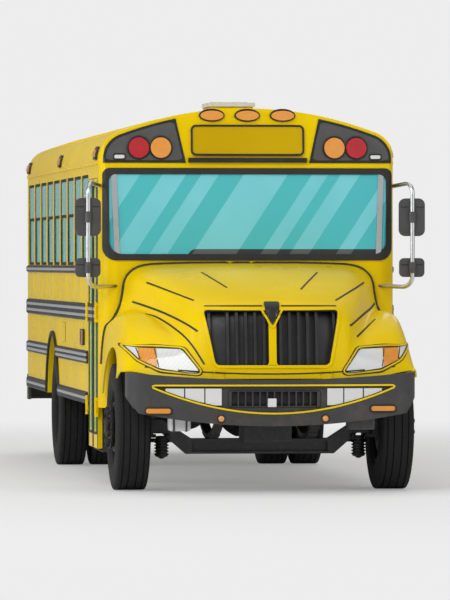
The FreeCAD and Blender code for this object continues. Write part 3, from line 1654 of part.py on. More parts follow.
def tow_eyes():
    """Two flat eyes bolted under the rails' rear ends, with upright holes."""
    pieces = []
    high_z = rail_high_z - rail_depth
    z_span = (high_z - eye_thick, high_z)
    middle_y = rail_rear_y + eye_reach
    for side in (-1, 1):
        middle_x = side * (rail_x - rail_flange / 2)
        foot = vec(middle_x, middle_y, high_z - eye_thick)
        x_span = (middle_x - eye_out_radius, middle_x + eye_out_radius)
        tongue = box(x_span, (rail_rear_y - eye_foot, middle_y), z_span)
        round_end = Part.makeCylinder(eye_out_radius, eye_thick, foot)
        hole = Part.makeCylinder(eye_hole_radius, eye_thick, foot)
        pieces.append(union([tongue, round_end]).cut(hole))
    return Part.makeCompound(pieces)


# Lamps and signs

warning_red_x = 900
warning_amber_x = 718
warning_rise = 134
warning_radius = 84
warning_reach = 26
panel_thick = 10
panel_inner_low_x = 510
panel_inner_high_x = 612
panel_rise = 10
panel_border = 26
small_lamp = (84, 29)
small_lamp_x = 1059
small_lamp_rise = 60
marker_size = (190, 80)
marker_drop = 60
marker_pitch = 293
marker_reach = 30
sign_half = 470
sign_rise = 68
sign_height = 256
sign_thick = 18
sign_round = 40
shade_rise = 12
shade_height = 40
shade_half = 490
shade_reach = 30

warning_z = gutter_z + warning_rise
panel_low_z = gutter_z + panel_rise
marker_z = crown_z - marker_drop
sign_low_z = gutter_z + sign_rise
sign_high_z = sign_low_z + sign_height
shade_low_z = gutter_z + shade_rise
shade_high_z = shade_low_z + shade_height


def front_block(points, radius):
    """An outline in the front view, run through the front cap."""
    return prism("y", points, (cowl_y - overrun, cap_front_y), radius)


def rear_block(points, radius):
    """An outline in the front view, run through the rear cap."""
    return prism("y", points, (cap_rear_y, body_rear_y + overrun), radius)


def oblong(centre, size):
    """The corners of an upright oblong about a centre."""
    x, z = centre
    half_x = size[0] / 2
    half_z = size[1] / 2
    return [(x - half_x, z - half_z), (x + half_x, z - half_z), (x + half_x, z + half_z),
        (x - half_x, z + half_z)]


def lamp_panels():
    """Four dark panels round the warning lamps, under the curve of the roof."""
    points = [(panel_inner_low_x, panel_low_z), (half_width, panel_low_z)]
    points += [(half_width, crown_z), (panel_inner_high_x, crown_z)]
    section = arch_section(panel_border, skirt_z)
    section.translate(vec(0, cowl_y - overrun, 0))
    arch = section.extrude(vec(0, body_rear_y - cowl_y + 2 * overrun, 0))
    panels = []
    for block in (front_block(points, 0), rear_block(points, 0)):
        panel = on_body(block.common(arch), -panel_thick, 0)
        panels += both(panel)
    return Part.makeCompound(panels)


def round_lamp(x, z, front):
    """A domed round lamp standing on a lamp panel."""
    start_y = cowl_y if front else body_rear_y
    way = -1 if front else 1
    inner = cowl_y + windshield_rake + crown_setback if front else body_rear_y - wall
    body = Part.makeCylinder(warning_radius, abs(inner - start_y) + overrun, vec(x, inner, z), vec(0, way, 0))
    dome = body.common(body_form(-panel_thick - warning_reach)).cut(body_form(-panel_thick))
    return dome


def lamps_of(x):
    """The four round lamps at one distance from the middle."""
    pieces = []
    for front in (True, False):
        pieces += both(round_lamp(x, warning_z, front))
    return pieces


def small_lamp_blocks(centre, size, depth, front):
    """A small oblong lamp lying on the cap, round at its ends."""
    points = oblong(centre, size)
    radius = size[1] / 2 - tiny
    block = front_block(points, radius) if front else rear_block(points, radius)
    return on_body(block, -depth, 0)


def oval_block(centre, size):
    """An oval in the front view, run back through the front cap."""
    face = Part.Face(Part.Wire(Part.Ellipse(vec(0, 0, 0), size[0] / 2, size[1] / 2).toShape()))
    face.rotate(vec(0, 0, 0), vec(1, 0, 0), 90)
    face.translate(vec(centre[0], cowl_y - overrun, centre[1]))
    return face.extrude(vec(0, cap_length + overrun, 0))


side_marker_y_share = (0.02, 0.5, 0.98)
side_marker_size = (170, 60)
turn_size = (250, 110)
turn_setback = 530
turn_z = 1200
turn_reach = 22
tail_x = 1010
tail_z = (1560, 1330, 1130)
tail_radius = 88

turn_y = door_rear_y + turn_setback


def roof_side_markers():
    """A marker lamp on each side of the roof near its front, middle and rear."""
    pieces = []
    for share in side_marker_y_share:
        y = cap_front_y + (cap_rear_y - cap_front_y) * share
        y_span = (y - side_marker_size[0] / 2, y + side_marker_size[0] / 2)
        z_span = (arch_spring_z + drip_height, arch_spring_z + drip_height + side_marker_size[1])
        block = box((inner_half, half_width + marker_reach), y_span, z_span)
        pieces += both(block.common(body_form(-marker_reach)).cut(body_form(0)))
    return pieces


def tail_lamps(z):
    """A round lamp on each rear corner at one height."""
    tool = Part.makeCylinder(tail_radius, cap_length + overrun, vec(tail_x, cap_rear_y, z), vec(0, 1, 0))
    return both(on_body(tool, -marker_reach, 0))


def side_turn_lamps():
    """The halves of the side turn lamps: the red half and the amber half."""
    halves = []
    for low, high in ((0, turn_size[0] / 2), (-turn_size[0] / 2, 0)):
        y_span = (turn_y + low, turn_y + high)
        z_span = (turn_z - turn_size[1] / 2, turn_z + turn_size[1] / 2)
        halves.append(both(box((half_width, half_width + turn_reach), y_span, z_span)))
    return halves


def red_lamps():
    """All red lamps: the outer warning lamps, the brake lamps and half of each side lamp."""
    return Part.makeCompound(lamps_of(warning_red_x) + tail_lamps(tail_z[0]) + side_turn_lamps()[0])


def amber_lamps():
    """All amber lamps: inner warning, roof marker, rear turn and side turn lamps."""
    pieces = lamps_of(warning_amber_x)
    for i in (-1, 0, 1):
        pieces.append(on_body(oval_block((marker_pitch * i, marker_z), marker_size), -marker_reach, 0))
    pieces += roof_side_markers() + tail_lamps(tail_z[1]) + side_turn_lamps()[1]
    return Part.makeCompound(pieces)


def fog_blocks():
    """The white fog lamps in the bumper's recess, parted by two dividers each."""
    raised = smile_tool()
    raised.translate(vec(0, 0, fog_divide))
    layer = bumper_plan(smile_depth / 2).cut(bumper_plan(smile_depth))
    tool = smile_tool().common(raised).common(layer)
    block = box((fog_inner_x, fog_outer_x), (front_y, front_y + bumper_wrap), (fog_low_z, fog_high_z))
    width = fog_outer_x - fog_inner_x
    for share in fog_share:
        x = fog_inner_x + width * share
        block = block.cut(box((x - fog_divide / 2, x + fog_divide / 2), (front_y, front_y + bumper_wrap),
            (0, crown_z)))
    return both(block.common(tool))


def clear_lamps():
    """All clear lamps: small cap lamps, fog lamps and reversing lamps."""
    pieces = both(small_lamp_blocks((small_lamp_x, gutter_z + small_lamp_rise), small_lamp,
        panel_thick + marker_reach / 3, True).cut(body_form(-panel_thick)))
    pieces += fog_blocks() + tail_lamps(tail_z[2])
    return Part.makeCompound(pieces)


def sign_panels():
    """The blank sign boards on the two caps and the dark strip under the front one."""
    points = oblong((0, (sign_low_z + sign_high_z) / 2), (2 * sign_half, sign_high_z - sign_low_z))
    return Part.makeCompound([on_body(front_block(points, sign_round), -sign_thick, 0),
        on_body(rear_block(points, sign_round), -sign_thick, 0)])


def sign_shade():
    """The dark strip over the windshield, under the front sign board."""
    points = oblong((0, (shade_low_z + shade_high_z) / 2), (2 * shade_half, shade_high_z - shade_low_z))
    return on_body(front_block(points, 0), -shade_reach, 0)


# Mirrors

mirror_tube = 18
mirror_bend = 90
mirror_x = 1335
mirror_lead = 190
mirror_head = 150
mirror_low_z = 1630
mirror_upper_foot_x = 1206
mirror_upper_foot_drop = 30
mirror_lower_foot = (1080, 1640)
flat_mirror = (212, 310)
flat_mirror_drop = 287
round_mirror = (205, 156)
round_mirror_rise = 160
mirror_depth = 46
clamp_radius = 29
clamp_height = 90

mirror_y = cowl_y - mirror_lead
mirror_high_z = gutter_z - mirror_head


def mirror_arms():
    """The bent tubes that carry the mirrors ahead of the front corners."""
    top = vec(mirror_x, mirror_y, mirror_high_z)
    bottom = vec(mirror_x, mirror_y, mirror_low_z)
    upper_foot = vec(mirror_upper_foot_x, cowl_y + cap_length / 2, mirror_high_z - mirror_upper_foot_drop)
    lower_foot = vec(mirror_lower_foot[0], cowl_y + wall / 2, mirror_lower_foot[1])
    arm = curved_bar([upper_foot, top, bottom, lower_foot], mirror_tube, mirror_bend)
    keep = box((0, 2 * half_width), (2 * mirror_y, body_rear_y), (0, 2 * crown_z)).cut(body_form(0))
    arm = arm.common(keep).cut(windshield_seal())
    return Part.makeCompound(both(arm))


def mirror_heads():
    """The tall flat mirror and the wide domed one below it, with their clamps."""
    pieces = []
    heads = [(flat_mirror, mirror_high_z - flat_mirror_drop),
        (round_mirror, mirror_low_z + round_mirror_rise)]
    for (width, height), centre_z in heads:
        points = oblong((mirror_x, centre_z), (width, height))
        start_y = mirror_y + mirror_tube
        head = prism("y", points, (start_y, start_y + mirror_depth), min(width, height) / 4)
        clamp = Part.makeCylinder(clamp_radius, clamp_height,
            vec(mirror_x, mirror_y, centre_z - clamp_height / 2))
        whole = union([head, clamp])
        pieces.append(whole.cut(Part.makeCylinder(mirror_tube, 2 * height,
            vec(mirror_x, mirror_y, centre_z - height))))
    whole = Part.makeCompound(pieces)
    return Part.makeCompound(both(whole))


# Inside

seat_width = 940
seat_depth = 400
seat_high_z = 1530
seat_low_z = 1420
back_high_z = 2120
back_thick = 110
back_lean = 90
seat_leg = 40
seat_wall_gap = 18
driver_seat_width = 520
driver_x = 620
driver_setback = 520


driver_y = cap_front_y + driver_setback


def bench(x_span, y):
    """A bench seat in side view, drawn across its width, on a leg by its inner end."""
    points = [(y, seat_low_z), (y, seat_high_z), (y + seat_depth, seat_high_z - seat_leg / 2)]
    points += [(y + seat_depth + back_lean, back_high_z),
        (y + seat_depth + back_lean + back_thick, back_high_z)]
    points += [(y + seat_depth + back_thick, seat_low_z)]
    seat = prism("x", points, x_span)
    inner = min(x_span, key=abs)
    side = 1 if inner > 0 else -1
    leg = box((inner + side * seat_leg, inner + side * 2 * seat_leg), (y + seat_leg, y + seat_depth),
        (floor_z, seat_low_z))
    far = max(x_span, key=abs)
    ledge = box((far, side * inner_half), (y + seat_leg, y + seat_depth),
        (seat_low_z, seat_high_z - 2 * seat_leg))
    return union([seat, leg, ledge])


def seats():
    """Nine benches a side and the driver's seat."""
    pieces = []
    outer = inner_half - seat_wall_gap
    start_y = door_rear_y + window_post
    for i in range(window_count):
        y = start_y + window_pitch * i
        for side in (-1, 1):
            pieces.append(bench((side * outer, side * (outer - seat_width)), y))
    x_span = (driver_x - driver_seat_width / 2, driver_x + driver_seat_width / 2)
    points = [(driver_y, seat_low_z), (driver_y, seat_high_z),
        (driver_y + seat_depth, seat_high_z - seat_leg / 2)]
    points += [(driver_y + seat_depth + back_lean, back_high_z),
        (driver_y + seat_depth + back_lean + back_thick, back_high_z)]
    points += [(driver_y + seat_depth + back_thick, seat_low_z)]
    chair = prism("x", points, x_span)
    foot = box((driver_x - 2 * seat_leg, driver_x + 2 * seat_leg),
        (driver_y + seat_leg, driver_y + seat_depth), (floor_z, seat_low_z))
    pieces.append(union([chair, foot]))
    return Part.makeCompound(pieces)


dash_high_z = 1900
dash_low_z = 1500
dash_depth = 300
dash_inner_x = -480
wheel_radius = 225
wheel_rim = 15
wheel_tilt = 35
wheel_z = 1880
wheel_setback = 600
column_radius = 32

wheel_y = cowl_y + wheel_setback


def dashboard():
    """The dash across the driver's side with the steering column and wheel."""
    front = cowl_y + wall
    points = [(front, dash_low_z), (front, dash_high_z), (front + dash_depth / 2, dash_high_z)]
    points += [(front + dash_depth, dash_high_z - dash_depth / 3), (front + dash_depth, dash_low_z)]
    dash = prism("x", points, (dash_inner_x, inner_half)).common(body_form(wall))
    centre = vec(driver_x, wheel_y, wheel_z)
    tilt = math.radians(wheel_tilt)
    way = vec(0, -math.cos(tilt), -math.sin(tilt))
    section = [(wheel_radius + wheel_rim * math.cos(math.pi / 3 * i),
        wheel_rim * math.sin(math.pi / 3 * i)) for i in range(6)]
    ring = revolved([(height, reach) for reach, height in section], centre, way)
    column_end = centre + way * (abs(front + dash_depth - wheel_y) / math.cos(tilt) + column_radius)
    column = rod(centre, column_end, column_radius)
    spokes = []
    for i in range(3):
        angle = 2 * math.pi * i / 3 + math.pi / 2
        across = vec(math.cos(angle), 0, 0) + vec(0, -math.sin(tilt), math.cos(tilt)) * math.sin(angle)
        spokes.append(rod(centre, centre + across * wheel_radius, wheel_rim))
    return union([dash, ring, column] + spokes)


def pieces():
    """Every piece of the bus by name."""
    shell = wall_shell()
    left_knuckle = knuckle()
    left_tyre = front_tyre()
    left_rim = front_rim()
    left_pair = rear_tyres()
    left_rims = rear_rims()
    rails = union([frame_rails()] + both(union(hood_hinge_posts())))
    return {
        "frame_rails": rails,
        "axles": axles(),
        "leaf_springs": leaf_springs(),
        "driveline": driveline(),
        "fuel_tank": fuel_tank(),
        "exhaust": exhaust(),
        "floor": floor(),
        "wheelhouses": wheelhouses(),
        "entry_steps": entry_steps(),
        "left_wall": left_wall(shell),
        "right_wall": right_wall(shell),
        "roof": roof(shell),
        "front_wall": front_wall(shell),
        "rear_wall": rear_wall(shell),
        "rub_rails": rub_rails(),
        "windshield": windshield(),
        "windshield_seal": windshield_seal(),
        "windshield_pillars": windshield_pillars(),
        "window_frames": window_frames(),
        "side_glass": side_glass(),
        "door_front_leaf": door_leaf(False),
        "door_front_glass": door_glass(False),
        "door_rear_leaf": door_leaf(True),
        "door_rear_glass": door_glass(True),
        "rear_door": rear_door(),
        "rear_door_glass": rear_door_glass(),
        "roof_hatch": roof_hatch(),
        "stop_arm": stop_arm(),
        "hood": hood(),
        "grille": grille(),
        "headlamps": headlamps(),
        "hood_turn_lamps": hood_turn_lamps(),
        "knuckle_left": left_knuckle,
        "knuckle_right": mirrored(left_knuckle),
        "tie_rod": tie_rod(),
        "front_tyre_left": left_tyre,
        "front_tyre_right": mirrored(left_tyre),
        "front_rim_left": left_rim,
        "front_rim_right": mirrored(left_rim),
        "rear_tyres_left": left_pair,
        "rear_tyres_right": mirrored(left_pair),
        "rear_rims_left": left_rims,
        "rear_rims_right": mirrored(left_rims),
        "front_bumper": front_bumper(),
        "rear_bumper": rear_bumper(),
        "tow_eyes": tow_eyes(),
        "lamp_panels": lamp_panels(),
        "red_lamps": red_lamps(),
        "amber_lamps": amber_lamps(),
        "clear_lamps": clear_lamps(),
        "sign_panels": sign_panels(),
        "sign_shade": sign_shade(),
        "mirror_arms": mirror_arms(),
        "mirror_heads": mirror_heads(),
        "seats": seats(),
        "dashboard": dashboard(),
    }


os.makedirs("parts", exist_ok=True)
for name, shape in pieces().items():
    shape.exportStep("parts/" + name + ".step")
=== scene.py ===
import math
import bmesh
import bpy
import numpy as np
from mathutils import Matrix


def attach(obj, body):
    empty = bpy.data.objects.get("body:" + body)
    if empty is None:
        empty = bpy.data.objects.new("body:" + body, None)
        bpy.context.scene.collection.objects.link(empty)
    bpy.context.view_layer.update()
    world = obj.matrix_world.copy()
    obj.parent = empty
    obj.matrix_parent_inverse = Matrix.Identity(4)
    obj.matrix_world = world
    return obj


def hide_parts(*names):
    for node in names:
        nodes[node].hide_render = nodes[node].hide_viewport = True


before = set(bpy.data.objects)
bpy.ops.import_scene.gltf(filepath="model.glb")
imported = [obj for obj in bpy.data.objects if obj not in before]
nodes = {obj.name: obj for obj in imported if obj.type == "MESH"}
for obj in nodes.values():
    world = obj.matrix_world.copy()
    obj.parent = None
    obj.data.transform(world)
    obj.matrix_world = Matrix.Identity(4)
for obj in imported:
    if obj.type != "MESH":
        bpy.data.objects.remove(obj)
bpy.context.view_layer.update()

FRONT_AXLE, REAR_AXLE = -3.86, 1.64
WHEEL_Z = 0.51
NUT_CIRCLE, NUT_COUNT = 0.142, 10
WINDOW_START, WINDOW_END, WINDOW_COUNT = -2.03, 4.57, 9
WINDOW_PITCH = (WINDOW_END - WINDOW_START) / WINDOW_COUNT


# Surfaces worked out as arrays

def grid(points, closed_u=False, closed_v=False, caps=False):
    """A surface through points[u, v]: neighbours make quads, round again where an end is closed.
    With caps, each end row in u is closed by triangles to its mean point."""
    count_u, count_v = points.shape[:2]
    verts = points.reshape(-1, 3)
    u = np.arange(count_u if closed_u else count_u - 1)
    v = np.arange(count_v if closed_v else count_v - 1)
    a, b = np.meshgrid(u, v, indexing="ij")
    a2, b2 = (a + 1) % count_u, (b + 1) % count_v
    quads = np.stack([a * count_v + b, a2 * count_v + b, a2 * count_v + b2, a * count_v + b2], -1)
    quads = quads.reshape(-1, 4)
    tris = np.zeros((0, 3), int)
    if caps:
        ring = np.arange(count_v)
        turn = np.roll(ring, -1)
        for row, flip in ((0, False), (count_u - 1, True)):
            verts = np.vstack([verts, points[row].mean(0)])
            middle = np.full(count_v, len(verts) - 1)
            fan = np.stack([ring + row * count_v, turn + row * count_v, middle], -1)
            tris = np.vstack([tris, fan[:, ::-1] if flip else fan])
    return verts, quads, tris


def joined(parts):
    """Several surfaces as one: their points in a row, their faces renumbered."""
    verts, quads, tris, base = [], [], [], 0
    for v, q, t in parts:
        verts.append(v)
        quads.append(q + base)
        tris.append(t + base)
        base += len(v)
    return np.vstack(verts), np.vstack(quads), np.vstack(tris)


def mirrored(part):
    """The same surface on the other side of the middle plane, its faces turned to stay outwards."""
    v, q, t = part
    return v * [-1, 1, 1], q[:, ::-1], t[:, ::-1]


def both(part):
    """A surface and its mirror image."""
    return [part, mirrored(part)]


def moved(part, step):
    """A surface shifted by a step."""
    return part[0] + np.asarray(step, float), part[1], part[2]


def placed(name, data):
    """A new object in the scene."""
    item = bpy.data.objects.new(name, data)
    bpy.context.scene.collection.objects.link(item)
    return item


def mesh_of(name, part):
    """A mesh of a surface's points and faces."""
    mesh = bpy.data.meshes.new(name)
    mesh.from_pydata(part[0].tolist(), [], part[1].tolist() + part[2].tolist())
    return mesh


def piece(name, part, material, body="chassis_body", angle=35, bevel=0.0):
    """A named object from a surface, its doubles merged and its faces turned outwards, riding on a body."""
    mesh = mesh_of(name, part)
    made = bmesh.new()
    made.from_mesh(mesh)
    bmesh.ops.remove_doubles(made, verts=made.verts, dist=1e-6)
    bmesh.ops.recalc_face_normals(made, faces=made.faces)
    made.to_mesh(mesh)
    made.free()
    mesh.polygons.foreach_set("use_smooth", np.ones(len(mesh.polygons), bool))
    mesh.set_sharp_from_angle(angle=math.radians(angle))
    mesh.materials.append(material)
    item = placed(name, mesh)
    if bevel:
        soft = item.modifiers.new("soft_edge", "BEVEL")
        soft.width, soft.segments, soft.limit_method = bevel, 2, "ANGLE"
    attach(item, body)
    return item


def unit(v):
    """Arrows scaled to length one."""
    return v / np.maximum(np.linalg.norm(v, axis=-1, keepdims=True), 1e-12)


def smooth_path(points, count):
    """A Catmull-Rom curve through points, at even steps of its parameter."""
    p = np.asarray(points, float)
    last = len(p) - 1
    t = np.linspace(0, last, count)
    i = np.minimum(t.astype(int), last - 1)
    f = (t - i)[:, None]
    a, b, c, d = (p[np.clip(i + k, 0, last)] for k in (-1, 0, 1, 2))
    return 0.5 * (2 * b + (c - a) * f + (2 * a - 5 * b + 4 * c - d) * f**2 + (3 * b - a - 3 * c + d) * f**3)


def heading(path, closed):
    """The direction of a path at each point, from the point before it to the point after it."""
    ahead = np.roll(path, -1, 0) - np.roll(path, 1, 0)
    if not closed:
        ahead[0], ahead[-1] = path[1] - path[0], path[-1] - path[-2]
    return unit(ahead)


def swept(path, side, lift, profile, closed):
    """A flat profile of (across, up) pairs along a path: point = path + across * side + up * lift."""
    rows = path[:, None] + profile[None, :, :1] * side[:, None] + profile[None, :, 1:] * lift[:, None]
    return grid(rows, closed_u=closed, closed_v=True, caps=not closed)


def carried(path, profile, hint=(0, 0, 1), closed=False):
    """A profile carried along a path, its upward side as near the hint as it can be."""
    path = np.asarray(path, float)
    ahead = heading(path, closed)
    up = np.broadcast_to(np.asarray(hint, float), path.shape)
    up = unit(up - (up * ahead).sum(-1, keepdims=True) * ahead)
    return swept(path, np.cross(ahead, up), up, np.asarray(profile, float), closed)


def points_at(*values):
    """Points whose coordinates are given as rows, or as one value for them all."""
    return np.stack(np.broadcast_arrays(*values), -1).astype(float)


def turns(count):
    """Even steps of a full turn."""
    return np.linspace(0, 2 * math.pi, count, endpoint=False)


def circle(radius, count=12, high=None, middle=(0, 0)):
    """A round line, or an oval one where its half height is given: (radius * cos t, high * sin t)."""
    t = turns(count)
    return points_at(radius * np.cos(t), (high or radius) * np.sin(t)) + middle


def rounded(width, height, radius, steps=4):
    """An oblong profile about its middle whose corners are quarter circles."""
    radius = min(radius, width / 2 - 1e-5, height / 2 - 1e-5)
    t = np.linspace(0, math.pi / 2, steps)
    arc = np.stack([np.cos(t), np.sin(t)], -1) * radius
    parts = []
    for k, (sx, sz) in enumerate(((1, 1), (-1, 1), (-1, -1), (1, -1))):
        turn = k * math.pi / 2
        spin = np.array([[math.cos(turn), math.sin(turn)], [-math.sin(turn), math.cos(turn)]])
        parts.append(arc @ spin + [sx * (width / 2 - radius), sz * (height / 2 - radius)])
    return np.vstack(parts)


def tube(points, radius, sides=12, count=0, closed=False, hint=(0, 0, 1)):
    """A round bar along points, smoothed first where a count is given."""
    path = smooth_path(points, count) if count else points
    return carried(path, circle(radius, sides), hint, closed)


def turned(profile, centre, axis, sides=32, closed=False):
    """A profile of (along, radius) pairs turned about an axis through the centre."""
    axis = unit(np.asarray(axis, float))
    side = unit(np.cross(axis, [0.31, 0.17, 0.93]))
    other = np.cross(axis, side)
    t = turns(sides)
    spoke = np.cos(t)[:, None] * side + np.sin(t)[:, None] * other
    profile = np.asarray(profile, float)
    points = np.asarray(centre, float) + profile[:, None, :1] * axis + profile[:, None, 1:] * spoke[None]
    return grid(points, closed_u=closed, closed_v=True, caps=not closed)


def block(low, high, radius=0.004):
    """An oblong block with rounded long edges, its profile carried along Y."""
    low, high = np.asarray(low, float), np.asarray(high, float)
    middle = (low + high) / 2
    size = high - low
    profile = rounded(size[0], size[2], radius)
    inset = min(radius, size[1] / 3)
    small = profile * (1 - inset / max(size[0], size[2]) * 2)
    ends = [low[1], low[1] + inset, high[1] - inset, high[1]]
    rows = [points_at(middle[0] + p[:, 0], y, middle[2] + p[:, 1])
            for y, p in zip(ends, (small, profile, profile, small))]
    return grid(np.stack(rows), closed_v=True, caps=True)


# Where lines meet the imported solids

def points_of(mesh):
    """The places of a mesh's points."""
    place = np.zeros(len(mesh.vertices) * 3, np.float32)
    mesh.vertices.foreach_get("co", place)
    return place.reshape(-1, 3)


def triangles(names):
    """All triangles of the named nodes, as an array of corner points."""
    found = []
    for name in names:
        mesh = nodes[name].data
        mesh.calc_loop_triangles()
        index = np.zeros(len(mesh.loop_triangles) * 3, np.int32)
        mesh.loop_triangles.foreach_get("vertices", index)
        found.append(points_of(mesh)[index].reshape(-1, 3, 3))
    return np.vstack(found).astype(float)


def first_hit(names, axis, way, places):
    """Lines along one axis, at places on the two other axes, against the nodes' triangles by their
    barycentric shares. Gives each line's first point seen from the side it comes from, and the surface's
    arrow there."""
    faces = triangles(names)
    others = [k for k in range(3) if k != axis]
    places = np.asarray(places, float)
    flat = faces[:, :, others]
    near = ((flat.max(1) >= places.min(0) - 1e-6) & (flat.min(1) <= places.max(0) + 1e-6)).all(1)
    faces, flat = faces[near], flat[near]
    edge1, edge2 = flat[:, 1] - flat[:, 0], flat[:, 2] - flat[:, 0]
    area = edge1[:, 0] * edge2[:, 1] - edge1[:, 1] * edge2[:, 0]
    keep = abs(area) > 1e-12
    faces, flat, edge1, edge2, area = faces[keep], flat[keep], edge1[keep], edge2[keep], area[keep]
    arrows = unit(np.cross(faces[:, 1] - faces[:, 0], faces[:, 2] - faces[:, 0]))
    depth, arrow = np.full(len(places), np.nan), np.zeros((len(places), 3))
    for start in range(0, len(places), 128):
        rel = places[start:start + 128, None] - flat[None, :, 0]
        s = (rel[..., 0] * edge2[:, 1] - rel[..., 1] * edge2[:, 0]) / area
        t = (edge1[:, 0] * rel[..., 1] - edge1[:, 1] * rel[..., 0]) / area
        base, far1, far2 = faces[..., axis].T
        d = base + s * (far1 - base) + t * (far2 - base)
        seen = np.where((s >= -1e-6) & (t >= -1e-6) & (s + t <= 1 + 1e-6), d * way, np.inf)
        best = seen.argmin(1)
        row = np.arange(len(best))
        hit = np.isfinite(seen[row, best])
        depth[start:start + 128] = np.where(hit, seen[row, best] * way, np.nan)
        arrow[start:start + 128] = arrows[best]
    good = np.isfinite(depth)
    if not good.all():
        order = np.arange(len(depth))
        nearest = order[good][abs(order[:, None] - order[good][None]).argmin(1)]
        depth, arrow = depth[nearest], arrow[nearest]
    arrow *= np.where(arrow[:, axis] * way > 0, -1.0, 1.0)[:, None]
    points = np.zeros((len(places), 3))
    points[:, others], points[:, axis] = places, depth
    return points, arrow


def laid(names, xz, width, lift, closed=False, depth=0.003, radius=0.002, axis=1, way=1):
    """A flat bead lying on a surface along a line of the view: an oblong profile, raised by lift, sunk by
    depth."""
    points, arrow = first_hit(names, axis, way, xz)
    if closed:
        arrow = (np.roll(arrow, 1, 0) + arrow + np.roll(arrow, -1, 0)) / 3
    else:
        arrow = np.vstack([arrow[:1], (arrow[:-2] + arrow[1:-1] + arrow[2:]) / 3, arrow[-1:]])
    ahead, arrow = heading(points, closed), unit(arrow)
    arrow = unit(arrow - (arrow * ahead).sum(-1, keepdims=True) * ahead)
    profile = rounded(width, lift + depth, radius, 3)
    profile[:, 1] += (lift - depth) / 2
    return swept(points, np.cross(ahead, arrow), arrow, profile, closed)


def plate(names, outline, lift, depth=0.004, rings=6, axis=1, way=1):
    """A thin plate that follows a surface inside an outline: point = middle + share * (outline - middle),
    laid and raised."""
    outline = np.asarray(outline, float)
    middle = outline.mean(0)
    share = np.append(np.linspace(0, 1, rings + 1)[1:], 1.0)
    flat = middle + share[:, None, None] * (outline - middle)[None]
    points, arrow = first_hit(names, axis, way, flat.reshape(-1, 2))
    height = np.repeat(np.append(np.full(rings, lift), -depth), len(outline))
    points = (points + arrow * height[:, None]).reshape(rings + 1, len(outline), 3)
    top, _ = first_hit(names, axis, way, middle[None])
    verts, quads, tris = grid(points, closed_v=True)
    ring = np.arange(len(outline))
    verts = np.vstack([verts, top[0] + arrow[0] * lift, points[-1].mean(0)])
    cap = np.stack([ring, np.roll(ring, -1), np.full(len(ring), len(verts) - 2)], -1)
    last = ring + rings * len(outline)
    back = np.stack([np.roll(last, -1), last, np.full(len(ring), len(verts) - 1)], -1)
    return verts, quads, np.vstack([cap, back])


# Materials

def linear(code):
    """An sRGB hex value turned to linear light."""
    parts = np.array([int(code[i:i + 2], 16) for i in (1, 3, 5)]) / 255
    return (*np.where(parts <= 0.04045, parts / 12.92, ((parts + 0.055) / 1.055) ** 2.4).tolist(), 1.0)


def node(tree, kind, sockets=None, **settings):
    """Adds a node with its settings; each socket gets a value or another node's output."""
    made = tree.nodes.new(kind)
    for key, value in settings.items():
        setattr(made, key, value)
    for key, value in (sockets or {}).items():
        if isinstance(value, bpy.types.NodeSocket):
            tree.links.new(value, made.inputs[key])
        else:
            made.inputs[key].default_value = value
    return made


def finish(name, code, rough, **sockets):
    """A named material: one shader with its plain values, and the place on the object to draw patterns by."""
    made = bpy.data.materials.new(name)
    made.use_nodes = True
    tree = made.node_tree
    tree.nodes.clear()
    shader = node(tree, "ShaderNodeBsdfPrincipled",
                  {"Base Color": linear(code), "Roughness": rough, **sockets})
    out = node(tree, "ShaderNodeOutputMaterial")
    tree.links.new(shader.outputs["BSDF"], out.inputs["Surface"])
    place = node(tree, "ShaderNodeTexCoord").outputs["Object"]
    return made, tree, shader, place


def speckle(tree, place, size, detail=3.0, rough=0.55, stretch=None):
    """Soft noise whose grains are about size metres across, stretched along an axis where asked."""
    if stretch:
        place = node(tree, "ShaderNodeMapping", {"Vector": place, "Scale": stretch}).outputs["Vector"]
    return node(tree, "ShaderNodeTexNoise",
                {"Vector": place, "Scale": 1 / size, "Detail": detail, "Roughness": rough}).outputs["Fac"]


def ramp(tree, value, low, high, to_low=0.0, to_high=1.0):
    """A value eased from one span to another and held at its ends."""
    return node(tree, "ShaderNodeMapRange",
                {"Value": value, "From Min": low, "From Max": high, "To Min": to_low, "To Max": to_high},
                interpolation_type="SMOOTHSTEP").outputs["Result"]


def mixed(tree, share, first, second):
    """One colour over another by a share; each is a hex value or another node's output."""
    mix = node(tree, "ShaderNodeMix", data_type="RGBA")
    for socket, value in ((mix.inputs[0], share), (mix.inputs[6], first), (mix.inputs[7], second)):
        if isinstance(value, bpy.types.NodeSocket):
            tree.links.new(value, socket)
        else:
            socket.default_value = linear(value) if isinstance(value, str) else value
    return mix.outputs[2]


def bumped(tree, shader, height, size, strength):
    """A height pattern pressed into the surface, its depth in metres."""
    bump = node(tree, "ShaderNodeBump", {"Height": height, "Distance": size, "Strength": strength})
    tree.links.new(bump.outputs["Normal"], shader.inputs["Normal"])


def painted(tree, shader, tone, shine=None):
    """A shader's colour, and its roughness where given, from other nodes' outputs."""
    tree.links.new(tone, shader.inputs["Base Color"])
    if shine:
        tree.links.new(shine, shader.inputs["Roughness"])


def maths(tree, operation, first, second=0.0, third=0.0):
    """One sum on two or three values."""
    made = node(tree, "ShaderNodeMath", operation=operation)
    for socket, value in zip(made.inputs, (first, second, third)):
        if isinstance(value, bpy.types.NodeSocket):
            tree.links.new(value, socket)
        else:
            socket.default_value = value
    return made.outputs[0]


def axes(tree, place):
    """The three coordinates of a place."""
    parts = node(tree, "ShaderNodeSeparateXYZ", {"Vector": place})
    return parts.outputs["X"], parts.outputs["Y"], parts.outputs["Z"]


